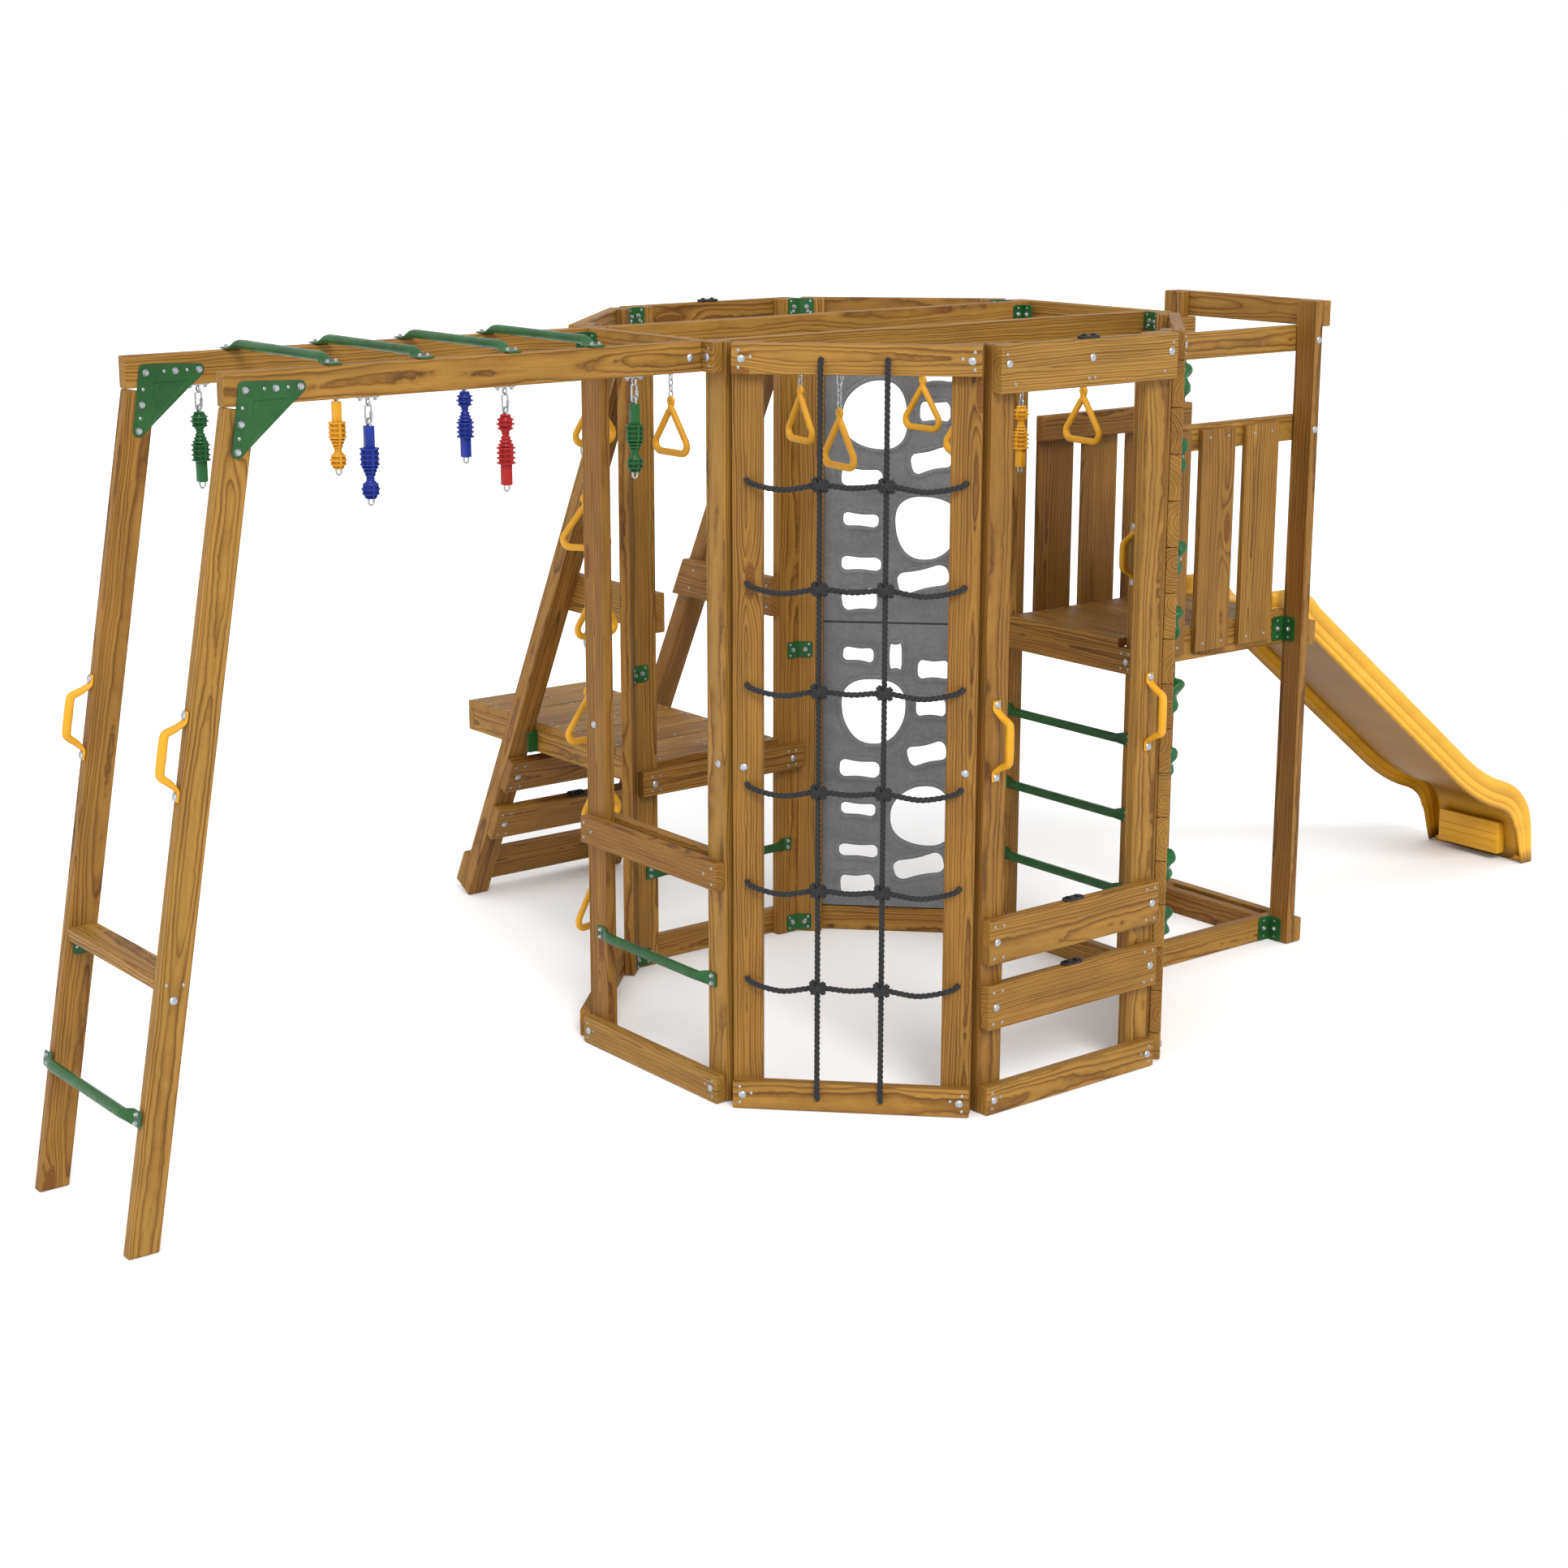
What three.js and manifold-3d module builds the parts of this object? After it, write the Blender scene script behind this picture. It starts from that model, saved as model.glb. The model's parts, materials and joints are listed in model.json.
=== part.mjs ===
// A timber climbing frame with a monkey-bar arm, in millimetres, +Z up.
// Eight two-post panels stand in an octagon. Going round from the front left they carry: a cargo net,
// low boards, a wall of boards, a deck tower with a slide, moulded climbing panels, a leaning ladder
// with a platform, a hanging ring ladder, and the arm of the monkey bars.
import * as THREE from 'three';
import { mergeVertices } from 'three/addons/utils/BufferGeometryUtils.js';
import Module from 'manifold-3d';

const wasm = await Module();
wasm.setup();

// ---- driving dimensions ----
const THICK = 38;                 // thickness of every sawn board and post
const W4 = 89;                    // width of the narrow boards
const W6 = 140;                   // width of the wide boards
const SIDE = 724;                 // length of one side of the octagon, and of its rails
const HEIGHT = 2333;              // top of the octagon
const GAP = 0.4;                  // clearance between pieces that touch
const APOTHEM = (SIDE / 2) * (1 + Math.SQRT2);      // octagon centre to the posts' inner faces
const POST_OUT = APOTHEM + THICK;                   // posts' outer faces
const RAIL_OUT = APOTHEM + 2 * THICK;               // rails' outer faces
const HALF = SIDE / 2;
const RAIL_LOW = HEIGHT - W4;                       // underside of the top rails

const BEAM_Y = 272;               // inner faces of the two overhead beams
const BEAM_OUT = BEAM_Y + THICK;
const BEAM_MID = BEAM_Y + THICK / 2;
const ARM_END = -2478;            // far end of the arm's beams
const LEG_FOOT = -2874;           // outer edge of the arm's legs on the ground
const LEG_SLOPE = 0.1775;         // how far a leg leans in X for each unit of height
const ARM_RUNG_X = [-2150, -1870, -1590, -1310];
const RUNG_R = 14;
const RUNG_RISE = 18;             // height of a rung's middle over the boards it is bolted to
const RUNG_TAB = 46;              // length and width of a rung's flat ends
const LADDER_RUNG_Z = [341, 609, 878];

const DECK_TOP = 1200;            // top of the deck's joists
const DECK_BOARD = 30;
const JOIST_LOW = DECK_TOP - W4;
const TOWER_IN = 1671;            // inner faces of the tower's outer posts
const TOWER_POST_OUT = TOWER_IN + THICK;
const MEMBER_Y = HALF - W4 - THICK;                 // inner faces of the tower's side members
const RAILING_LOW = 1842;
const SLAT_LOW = 1140;
const SLAT_HIGH = 1915;
const SLAT_THICK = 22;
const SLAT_WIDTH = 167;
const SLAT_X = [1057, 1278, 1500];                  // middle of each slat

const LEAN_FOOT = 2018.6;         // front edge of the leaning legs on the ground
const LEAN_ANGLE = Math.atan(0.5);
const LEAN_THICK = 64;
const BRACE_LOW = 1205;
const PLATFORM_TOP = 748;
const PLATFORM_END = 2129;

const SLIDE_HALF = 237;           // half the width of the slide
const SLIDE_WALL = 8;
const RIM_HALF = 197;             // inner faces of the slide's rims

// Hanging pieces: where each one hangs along its beam, which beam, which way up, and its reach down.
const EYE_DROP = 24;              // hinge pin of an eye below the beam
const EYE_R = 9;
const WIRE_R = 3;
const LINK_R = 9;
const GRIP_LENGTH = 197;
const GRIP_R = 24.5;
const GRIPS = [
  { name: 'grip_arm_far_green', x: -2253, side: 1, ballUp: true, drop: 292, colour: 'green' },
  { name: 'grip_arm_far_yellow', x: -1820, side: 1, ballUp: false, drop: 292, colour: 'yellow' },
  { name: 'grip_arm_far_blue', x: -1387, side: 1, ballUp: true, drop: 292, colour: 'blue' },
  { name: 'grip_arm_near_blue', x: -2047, side: -1, ballUp: false, drop: 292, colour: 'blue' },
  { name: 'grip_arm_near_red', x: -1616, side: -1, ballUp: true, drop: 292, colour: 'red' },
  { name: 'grip_arm_near_green', x: -1179, side: -1, ballUp: false, drop: 292, colour: 'green' },
  { name: 'grip_inner_yellow', x: 343, side: -1, ballUp: true, drop: 402, colour: 'yellow' },
];
const RINGS = [
  { name: 'ring_near_left', x: -416, side: -1, yaw: 84 },
  { name: 'ring_near_middle', x: 101, side: -1, yaw: 96 },
  { name: 'ring_near_right', x: 620, side: -1, yaw: 88 },
  { name: 'ring_far_left', x: -626, side: 1, yaw: 92 },
  { name: 'ring_far_middle', x: -101, side: 1, yaw: 80 },
  { name: 'ring_far_right', x: 432, side: 1, yaw: 94 },
];
const RING = { width: 180, height: 188, drop: 331, bar: 22, deep: 24 };
// The ring ladder: each ring's turn, how far its link has slid along the bar it hangs from, and how far
// its foot is below the foot of the ring above.
const STEP_RINGS = [
  [6, -46, 327], [-56, -44, 343], [5, 33, 286], [-2, -39, 348], [10, 45, 277], [15, -42, 362],
];

const COLOURS = {
  wood: 0xb07a3c, green: 0x2f7a3d, yellow: 0xe8a020, blue: 0x2458a8, red: 0xb52a24,
  rope: 0x2b2b2d, grey: 0x77787a, slide: 0xf2a92c,
};
const FINISH = {
  wood: [0.75, 0], green: [0.45, 0.1], yellow: [0.4, 0], blue: [0.4, 0], red: [0.4, 0],
  rope: [0.9, 0], grey: [0.6, 0], slide: [0.4, 0],
};

// ---- solids ----
function toSolid(geometry) {
  const plain = geometry.clone();
  plain.deleteAttribute('normal');
  plain.deleteAttribute('uv');
  const merged = mergeVertices(plain, 1e-4);
  return new wasm.Manifold(new wasm.Mesh({
    numProp: 3,
    vertProperties: new Float32Array(merged.attributes.position.array),
    triVerts: new Uint32Array(merged.index.array),
  }));
}

function toGeometry(solid) {
  const mesh = solid.getMesh();
  const geometry = new THREE.BufferGeometry();
  geometry.setAttribute('position', new THREE.BufferAttribute(mesh.vertProperties, 3));
  geometry.setIndex(new THREE.BufferAttribute(mesh.triVerts, 1));
  return geometry;
}

function union(geometries) {
  return toGeometry(geometries.map(toSolid).reduce((sum, next) => sum.add(next)));
}

function cut(geometry, tools) {
  return toGeometry(tools.map(toSolid).reduce((rest, tool) => rest.subtract(tool), toSolid(geometry)));
}

function box(x0, x1, y0, y1, z0, z1) {
  const geometry = new THREE.BoxGeometry(x1 - x0, y1 - y0, z1 - z0);
  return geometry.translate((x0 + x1) / 2, (y0 + y1) / 2, (z0 + z1) / 2);
}

function tube(points, radius, sides, steps) {
  const curve = new THREE.CatmullRomCurve3(points.map((p) => new THREE.Vector3(...p)), false, 'centripetal');
  const section = new THREE.Shape();
  for (let i = 0; i < sides; i += 1) {
    const turn = (i * 2 * Math.PI) / sides;
    const corner = [radius * Math.cos(turn), radius * Math.sin(turn)];
    if (i === 0) section.moveTo(...corner);
    else section.lineTo(...corner);
  }
  section.closePath();
  return new THREE.ExtrudeGeometry(section, { steps, extrudePath: curve, bevelEnabled: false });
}

// A straight round bar between two points.
function bar(from, to, radius, sides = 10) {
  const start = new THREE.Vector3(...from);
  const reach = new THREE.Vector3(...to).sub(start);
  const geometry = new THREE.CylinderGeometry(radius, radius, reach.length(), sides);
  geometry.applyQuaternion(new THREE.Quaternion().setFromUnitVectors(
    new THREE.Vector3(0, 1, 0), reach.clone().normalize()));
  return geometry.translate(...start.addScaledVector(reach, 0.5).toArray());
}

// An outline in the XZ plane pushed out along Y between y0 and y1.
function plateXZ(outline, y0, y1, curveSegments = 6) {
  const geometry = new THREE.ExtrudeGeometry(outline, {
    depth: y1 - y0, bevelEnabled: false, curveSegments,
  });
  return geometry.rotateX(Math.PI / 2).translate(0, y1, 0);
}

function polygon(points) {
  return new THREE.Shape(points.map(([x, y]) => new THREE.Vector2(x, y)));
}

// ---- assembly ----
const frame = new THREE.Group();

function addPiece(name, geometry, look, parent = frame) {
  const [roughness, metalness] = FINISH[look];
  const piece = new THREE.Mesh(geometry, new THREE.MeshStandardMaterial({
    color: COLOURS[look], roughness, metalness,
  }));
  piece.name = name;
  parent.add(piece);
  return piece;
}

// A panel's own axes: +X points out of the octagon, +Y runs along its side.
function panelGroup(index) {
  const group = new THREE.Group();
  group.rotation.z = THREE.MathUtils.degToRad(-135 + 45 * index);
  frame.add(group);
  return group;
}

function panelBoard(low, high, inside = false) {
  return inside
    ? box(APOTHEM - THICK, APOTHEM + 0.5, -HALF + 2, HALF - 2, low, high)
    : box(POST_OUT - 0.5, RAIL_OUT, -HALF + GAP, HALF - GAP, low, high);
}

function panelFrame(extras = [], topWidth = W4) {
  const posts = [-1, 1].map((side) => {
    const edges = [side * (HALF - W4), side * (HALF - GAP)].sort((a, b) => a - b);
    return box(APOTHEM, POST_OUT, ...edges, 0, HEIGHT);
  });
  return union([...posts, panelBoard(HEIGHT - topWidth, HEIGHT), panelBoard(0, W4), ...extras]);
}

// A small bolted plate under a beam with a round eye, whose lowest wire is the hinge pin.
function eyeFor(x, y) {
  const plate = box(-26, 26, -9, 9, RAIL_LOW - 6, RAIL_LOW + 1);
  const eye = new THREE.TorusGeometry(EYE_R, WIRE_R, 5, 8).rotateY(Math.PI / 2)
    .translate(0, 0, RAIL_LOW - EYE_DROP + EYE_R);
  return [plate, eye].map((piece) => piece.translate(x, y, 0));
}

const panels = [0, 1, 2, 3, 4, 5, 6, 7].map(panelGroup);
const FRONT_BOARDS = [[272, 272 + W6], [478, 478 + W6]];
const ARM_BOARD_LOW = 681;
const PLATFORM_BOARD_LOW = 635;
addPiece('net_panel_frame', panelFrame(), 'wood', panels[0]);
addPiece('front_panel_frame', panelFrame(FRONT_BOARDS.map((z) => panelBoard(...z)), W6), 'wood', panels[1]);
addPiece('wall_panel_frame', panelFrame(), 'wood', panels[2]);
addPiece('deck_panel_frame', panelFrame([
  box(APOTHEM - THICK, APOTHEM + 0.5, -334, 334, JOIST_LOW, DECK_TOP),
]), 'wood', panels[3]);
addPiece('moulded_panel_frame', panelFrame(), 'wood', panels[4]);
addPiece('platform_panel_frame', panelFrame([
  panelBoard(PLATFORM_BOARD_LOW, PLATFORM_BOARD_LOW + W4, true),
]), 'wood', panels[5]);
addPiece('ring_panel_frame', panelFrame(eyeFor(POST_OUT + THICK / 2, 0)), 'wood', panels[6]);
addPiece('arm_panel_frame', panelFrame([
  panelBoard(ARM_BOARD_LOW, ARM_BOARD_LOW + W4),
  panelBoard(ARM_BOARD_LOW, ARM_BOARD_LOW + W4, true),
]), 'wood', panels[7]);

// ---- cargo net: two upright ropes and six crossing ropes that sag between their knots ----
const ROPE_R = 8.5;
const NET_X = RAIL_OUT + 16;
const NET_UPRIGHT_Y = [-100, 93];
const NET_ROW_LOW = 409;
const NET_ROW_PITCH = 305;
const NET_SAG = 25;
const NET_SAG_MIDDLE = 15;
function cargoNet() {
  const ropes = NET_UPRIGHT_Y.map((y) => {
    const foot = W4 / 2;
    const head = RAIL_LOW + W4 / 2;
    return tube([
      [RAIL_OUT + GAP, y, foot], [RAIL_OUT + 9, y, foot], [NET_X + 2, y, foot + 26], [NET_X + 4, y, 300],
      [NET_X + 4, y, HEIGHT - 300], [NET_X + 2, y, head - 26], [RAIL_OUT + 9, y, head],
      [RAIL_OUT + GAP, y, head],
    ], ROPE_R, 5, 12);
  });
  const [left, right] = NET_UPRIGHT_Y;
  const end = HALF - 42;
  for (let row = 0; row < 6; row += 1) {
    const z = NET_ROW_LOW + NET_ROW_PITCH * row;
    ropes.push(tube([
      [POST_OUT + GAP, -end, z], [POST_OUT + 9, -end, z], [POST_OUT + 20, -end + 16, z - 8],
      [NET_X, (left - end) / 2, z - NET_SAG], [NET_X + 4, left, z - 4],
      [NET_X, (left + right) / 2, z - NET_SAG_MIDDLE], [NET_X + 4, right, z - 4],
      [NET_X, (right + end) / 2, z - NET_SAG], [POST_OUT + 20, end - 16, z - 8],
      [POST_OUT + 9, end, z], [POST_OUT + GAP, end, z],
    ], ROPE_R, 5, 16));
  }
  return union(ropes);
}
addPiece('cargo_net', cargoNet(), 'rope', panels[0]);

// ---- wall of boards, with a shallow groove at each seam ----
function boardWall() {
  const low = W4 + GAP;
  const high = RAIL_LOW - GAP;
  const count = 15;
  const pitch = (high - low) / count;
  const inner = POST_OUT + GAP;
  const outline = [[inner, low], [RAIL_OUT, low]];
  for (let i = 1; i < count; i += 1) {
    const seam = low + i * pitch;
    outline.push([RAIL_OUT, seam - 2], [RAIL_OUT - 5, seam], [RAIL_OUT, seam + 2]);
  }
  outline.push([RAIL_OUT, high], [inner, high]);
  return plateXZ(polygon(outline), -HALF + GAP, HALF - GAP);
}
addPiece('board_wall', boardWall(), 'wood', panels[2]);

// ---- moulded climbing panels with hand and foot holes ----
const MOULDED_HALF = 340;
const MOULDED_THICK = 18;
const MOULDED_SPANS = [['moulded_panel_lower', 92, 1164], ['moulded_panel_upper', 1169, 2241]];
// Each hole: middle along the panel, middle above the panel's foot, half width, half height, tilt.
const MOULDED_HOLES = [
  [90, 748, 124, 130, 0], [-95, 350, 122, 122, 0], [146, 955, 64, 32, 4], [10, 950, 30, 54, 0],
  [-128, 905, 66, 40, 0], [-120, 765, 62, 40, 0], [-108, 590, 80, 42, -14], [140, 525, 82, 38, 3],
  [142, 372, 72, 30, 4], [140, 213, 80, 31, 2], [-85, 160, 102, 44, -14], [144, 82, 72, 44, -4],
];
function roundedHole(y, z, halfWidth, halfHeight, tilt) {
  const shape = new THREE.Shape();
  const sides = 14;
  const turned = THREE.MathUtils.degToRad(tilt);
  for (let i = 0; i < sides; i += 1) {
    const turn = (i * 2 * Math.PI) / sides;
    const power = 0.8;
    const across = halfWidth * Math.sign(Math.cos(turn)) * Math.abs(Math.cos(turn)) ** power;
    const up = halfHeight * Math.sign(Math.sin(turn)) * Math.abs(Math.sin(turn)) ** power;
    const corner = [
      y + across * Math.cos(turned) - up * Math.sin(turned),
      z + across * Math.sin(turned) + up * Math.cos(turned),
    ];
    if (i === 0) shape.moveTo(...corner);
    else shape.lineTo(...corner);
  }
  return shape;
}
function mouldedPanel(low, high) {
  const shape = polygon([[-MOULDED_HALF, low], [MOULDED_HALF, low], [MOULDED_HALF, high], [-MOULDED_HALF, high]]);
  shape.holes = MOULDED_HOLES.map(([y, z, ...rest]) => roundedHole(y, low + z, ...rest));
  const inner = POST_OUT + GAP;
  const geometry = new THREE.ExtrudeGeometry(shape, { depth: MOULDED_THICK, bevelEnabled: false });
  return geometry.rotateX(Math.PI / 2).rotateZ(Math.PI / 2).translate(inner, 0, 0);
}
MOULDED_SPANS.forEach(([name, low, high]) => addPiece(name, mouldedPanel(low, high), 'grey', panels[4]));

// ---- rungs: a tube whose ends are flattened into bolted tabs ----
// It lies along Y between -reach and reach, its tabs on the plane x = face and the tube standing off.
function rung(reach, face, z, way = 1) {
  const tabs = [-1, 1].map((side) => {
    const edges = [side * (reach - RUNG_TAB), side * reach].sort((a, b) => a - b);
    const faces = [face, face + way * 7].sort((a, b) => a - b);
    return box(...faces, ...edges, z - RUNG_TAB / 2, z + RUNG_TAB / 2);
  });
  const middle = face + way * RUNG_RISE;
  const end = reach - RUNG_TAB - 14;
  const tubeBar = bar([middle, -end, z], [middle, end, z], RUNG_R, 12);
  const necks = [-1, 1].map((side) => bar(
    [face + way * 9.2, side * (reach - RUNG_TAB + 4), z], [middle, side * (end - 10), z], 9, 8));
  return union([...tabs, tubeBar, ...necks]);
}

// ---- the arm of the monkey bars ----
function overheadBeam(side, x0, x1) {
  const faces = [side * BEAM_Y, side * BEAM_OUT].sort((a, b) => a - b);
  const hung = [...GRIPS, ...RINGS].filter((item) => item.side === side && item.x > x0 && item.x < x1);
  const eyes = hung.flatMap((item) => eyeFor(item.x, side * BEAM_MID));
  return union([box(x0, x1, ...faces, RAIL_LOW, HEIGHT), ...eyes]);
}
const ARM_START = -RAIL_OUT - GAP;
addPiece('arm_beam_near', overheadBeam(-1, ARM_END, ARM_START), 'wood');
addPiece('arm_beam_far', overheadBeam(1, ARM_END, ARM_START), 'wood');
function armLeg(side) {
  const faces = [side * BEAM_Y, side * BEAM_OUT].sort((a, b) => a - b);
  const top = RAIL_LOW - GAP;
  const run = top * LEG_SLOPE;
  const width = W4 * Math.sqrt(1 + LEG_SLOPE ** 2);
  const drop = W4 * Math.sin(Math.atan(LEG_SLOPE));
  return plateXZ(polygon([
    [LEG_FOOT, 0], [LEG_FOOT + width, 0], [LEG_FOOT + width + run - drop * LEG_SLOPE, top - drop],
    [LEG_FOOT + run, top],
  ]), ...faces);
}
addPiece('arm_leg_near', armLeg(-1), 'wood');
addPiece('arm_leg_far', armLeg(1), 'wood');
const ARM_STEP = { x: -2742, z: 722 };
addPiece('arm_step', box(ARM_STEP.x, ARM_STEP.x + W4, -BEAM_Y + GAP, BEAM_Y - GAP,
  ARM_STEP.z, ARM_STEP.z + THICK), 'wood');

function armRung() {
  return rung(BEAM_OUT - 2, 0, 0).rotateY(-Math.PI / 2);
}
ARM_RUNG_X.forEach((x, i) => {
  addPiece(`arm_rung_${i + 1}`, armRung().translate(x, 0, HEIGHT + GAP), 'green');
});
const LEG_RUNG_Z = 382;
addPiece('leg_rung', rung(BEAM_OUT - 1, 0, 0, -1)
  .rotateY(Math.atan(LEG_SLOPE))
  .translate(LEG_FOOT + LEG_RUNG_Z * LEG_SLOPE - 8, 0, LEG_RUNG_Z), 'green');
addPiece('arm_panel_rung', rung(HALF - 44, POST_OUT + GAP, 382), 'green', panels[7]);

// ---- overhead beams inside the octagon, housed between the two facing panels ----
const beamEnd = APOTHEM - GAP;
addPiece('inner_beam_near', overheadBeam(-1, -beamEnd, beamEnd), 'wood');
addPiece('inner_beam_far', overheadBeam(1, -beamEnd, beamEnd), 'wood');

// ---- deck tower ----
const MEMBER_START = RAIL_OUT + GAP;
function sideMember(side, low, end = TOWER_POST_OUT - 1) {
  const faces = [side * MEMBER_Y, side * (MEMBER_Y + THICK - GAP)].sort((a, b) => a - b);
  return box(MEMBER_START, end, ...faces, low, low + W4);
}
function towerEnd() {
  const posts = [-1, 1].map((side) => {
    const edges = [side * (HALF - W4), side * HALF].sort((a, b) => a - b);
    return box(TOWER_IN, TOWER_POST_OUT, ...edges, 0, HEIGHT);
  });
  const crossbars = [0, JOIST_LOW, RAIL_LOW].map((z) => (
    box(TOWER_POST_OUT - 0.5, TOWER_POST_OUT + THICK, -HALF, HALF, z, z + W4)));
  const topBeams = [-1, 1].map((side) => sideMember(side, RAIL_LOW - W4 - GAP, TOWER_POST_OUT));
  const headers = [-1, 1].map((side) => {
    const edges = [side * (HALF - W4 + 1), side * (MEMBER_Y + 1)].sort((a, b) => a - b);
    return box(TOWER_IN, TOWER_POST_OUT, ...edges, RAIL_LOW - W4, RAIL_LOW);
  });
  return union([...posts, ...crossbars, ...topBeams, ...headers]);
}
addPiece('tower_end_frame', towerEnd(), 'wood');

function towerSide(side) {
  const outer = MEMBER_Y + THICK;
  const faces = [side * (outer - 1), side * (outer + SLAT_THICK)].sort((a, b) => a - b);
  const slats = SLAT_X.map((x) => (
    box(x - SLAT_WIDTH / 2, x + SLAT_WIDTH / 2, ...faces, SLAT_LOW, SLAT_HIGH)));
  return union([sideMember(side, RAILING_LOW), sideMember(side, JOIST_LOW), ...slats]);
}
addPiece('tower_railing_near', towerSide(-1), 'wood');
addPiece('tower_railing_far', towerSide(1), 'wood');

function deckFloor() {
  const start = APOTHEM - THICK;
  const end = TOWER_IN + 30;
  const board = (end - start) / 6;
  const inside = MEMBER_Y + THICK - 1;
  const floor = box(start, end, -inside, inside, DECK_TOP + GAP, DECK_TOP + DECK_BOARD);
  const seams = [1, 2, 3, 4, 5].map((i) => (
    box(start + i * board - 1.5, start + i * board + 1.5, -inside - 1, inside + 1,
      DECK_TOP + DECK_BOARD - 6, DECK_TOP + DECK_BOARD + 1)));
  return cut(floor, seams);
}
addPiece('deck_floor', deckFloor(), 'wood');

function towerBase() {
  const ties = [-1, 1].map((side) => sideMember(side, 0));
  const cross = box(TOWER_IN - THICK, TOWER_IN, -MEMBER_Y - 1, MEMBER_Y + 1, 0, W4);
  return union([...ties, cross]);
}
addPiece('tower_base_frame', towerBase(), 'wood');

LADDER_RUNG_Z.forEach((z, i) => {
  const flipped = rung(HALF - 34, 0, 0).rotateZ(Math.PI).translate(APOTHEM - GAP, 0, z);
  addPiece(`deck_ladder_rung_${i + 1}`, flipped, 'green', panels[3]);
});
addPiece('platform_panel_rung', rung(HALF - 34, 0, 0).rotateZ(Math.PI)
  .translate(APOTHEM - GAP, 0, 345), 'green', panels[5]);

// ---- slide: a thin moulded trough with a rolled rim, from the deck to the ground ----
function slideSideLine(offset) {
  const path = new THREE.Path();
  path.moveTo(1655, 1292 - offset);
  path.lineTo(1790, 1288 - offset);
  path.quadraticCurveTo(1858, 1285 - offset, 1930, 1205 - offset);
  path.lineTo(2840, 508 - offset);
  path.quadraticCurveTo(2975, 405 - offset, 3100, 365 - offset);
  path.quadraticCurveTo(3290 - offset * 0.75, 300 - offset * 0.7, 3300 - offset * 0.75, 130);
  path.lineTo(3312 - offset * 0.75, 0);
  return path.getPoints(5).map((p) => [p.x, p.y]);
}
function slideProfile(top, bottom) {
  return polygon([...slideSideLine(top), ...slideSideLine(bottom).reverse()]);
}
function slideSolid() {
  const rimTop = 0;
  const bedTop = 72;
  const bedUnder = bedTop + SLIDE_WALL;
  const skirt = 116;
  const body = cut(plateXZ(slideProfile(rimTop, skirt), -SLIDE_HALF, SLIDE_HALF), [
    box(1600, TOWER_POST_OUT + THICK + 12, -SLIDE_HALF - 1, SLIDE_HALF + 1, 1100, DECK_TOP + DECK_BOARD + GAP),
    box(1600, 1700, -SLIDE_HALF - 1, SLIDE_HALF + 1, DECK_TOP + DECK_BOARD + SLIDE_WALL, 1400),
  ]);
  const trough = plateXZ(slideProfile(-60, bedTop), -RIM_HALF, RIM_HALF);
  const under = plateXZ(slideProfile(bedUnder, skirt + 120), -RIM_HALF - SLIDE_WALL, RIM_HALF + SLIDE_WALL);
  const open = cut(body, [trough, under]);
  const hollows = [-1, 1].map((side) => {
    const faces = [side * (RIM_HALF + SLIDE_WALL), side * (SLIDE_HALF - SLIDE_WALL)].sort((a, b) => a - b);
    return plateXZ(slideProfile(SLIDE_WALL, skirt + 120), ...faces);
  });
  return cut(open, hollows);
}
addPiece('slide', slideSolid(), 'slide');

// ---- leaning ladder and its platform ----
const leanRun = (z) => LEAN_FOOT - 0.5 * z;
function leaning(geometry) {
  return geometry.rotateX(LEAN_ANGLE).translate(0, LEAN_FOOT, 0);
}
function leaningLeg(side) {
  const wide = [side * (HALF - W4), side * HALF].sort((a, b) => a - b);
  const leg = cut(leaning(box(...wide, 0, LEAN_THICK, 0, 2600)), [
    box(-500, 500, 0, POST_OUT + GAP, 1500, 3000),
    box(-500, 500, 0, 2000, RAIL_LOW - GAP, 3000),
  ]);
  const inner = [side * (HALF - W4 - THICK), side * (HALF - W4 + 0.5)].sort((a, b) => a - b);
  const brace = cut(box(...inner, APOTHEM, 1600, BRACE_LOW, BRACE_LOW + W6), [
    leaning(box(-500, 500, LEAN_THICK - 6, 500, 0, 2600)),
    box(...wide, 0, POST_OUT + GAP, 0, 3000),
  ]);
  return union([leg, brace]);
}
addPiece('leaning_leg_left', leaningLeg(-1), 'wood');
addPiece('leaning_leg_right', leaningLeg(1), 'wood');
const leanBoard = (out, along) => leaning(
  box(-HALF + GAP, HALF - GAP, out, out + THICK, along, along + W6));
const LEAN_STEPS = [['leaning_step_lower', 310], ['leaning_step_upper', 540]];
LEAN_STEPS.forEach(([name, along]) => addPiece(name, leanBoard(-THICK - GAP, along), 'wood'));
addPiece('leaning_foot_board', leanBoard(LEAN_THICK + GAP, 2), 'wood');

function platform() {
  const half = HALF - W4 - GAP;
  const boardLow = PLATFORM_TOP - DECK_BOARD;
  const start = APOTHEM + 1;
  const joists = [[-half, -half + THICK], [-10, 28], [half - THICK, half]].map(([x0, x1]) => (
    box(x0, x1, start, PLATFORM_END, boardLow - W4 + 3, boardLow + 1)));
  const ends = [start, PLATFORM_END - THICK].map((y) => (
    box(-half + 1, half - 1, y, y + THICK, boardLow - W4 + 3, boardLow + 1)));
  const boards = box(-half, half, start, PLATFORM_END, boardLow, PLATFORM_TOP);
  const seams = [1, 2, 3, 4, 5, 6, 7, 8].map((i) => {
    const y = PLATFORM_END - i * 142;
    return box(-half - 1, half + 1, y - 1.5, y + 1.5, PLATFORM_TOP - 6, PLATFORM_TOP + 1);
  });
  return cut(union([...joists, ...ends, boards]), seams);
}
addPiece('platform', platform(), 'wood');

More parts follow.
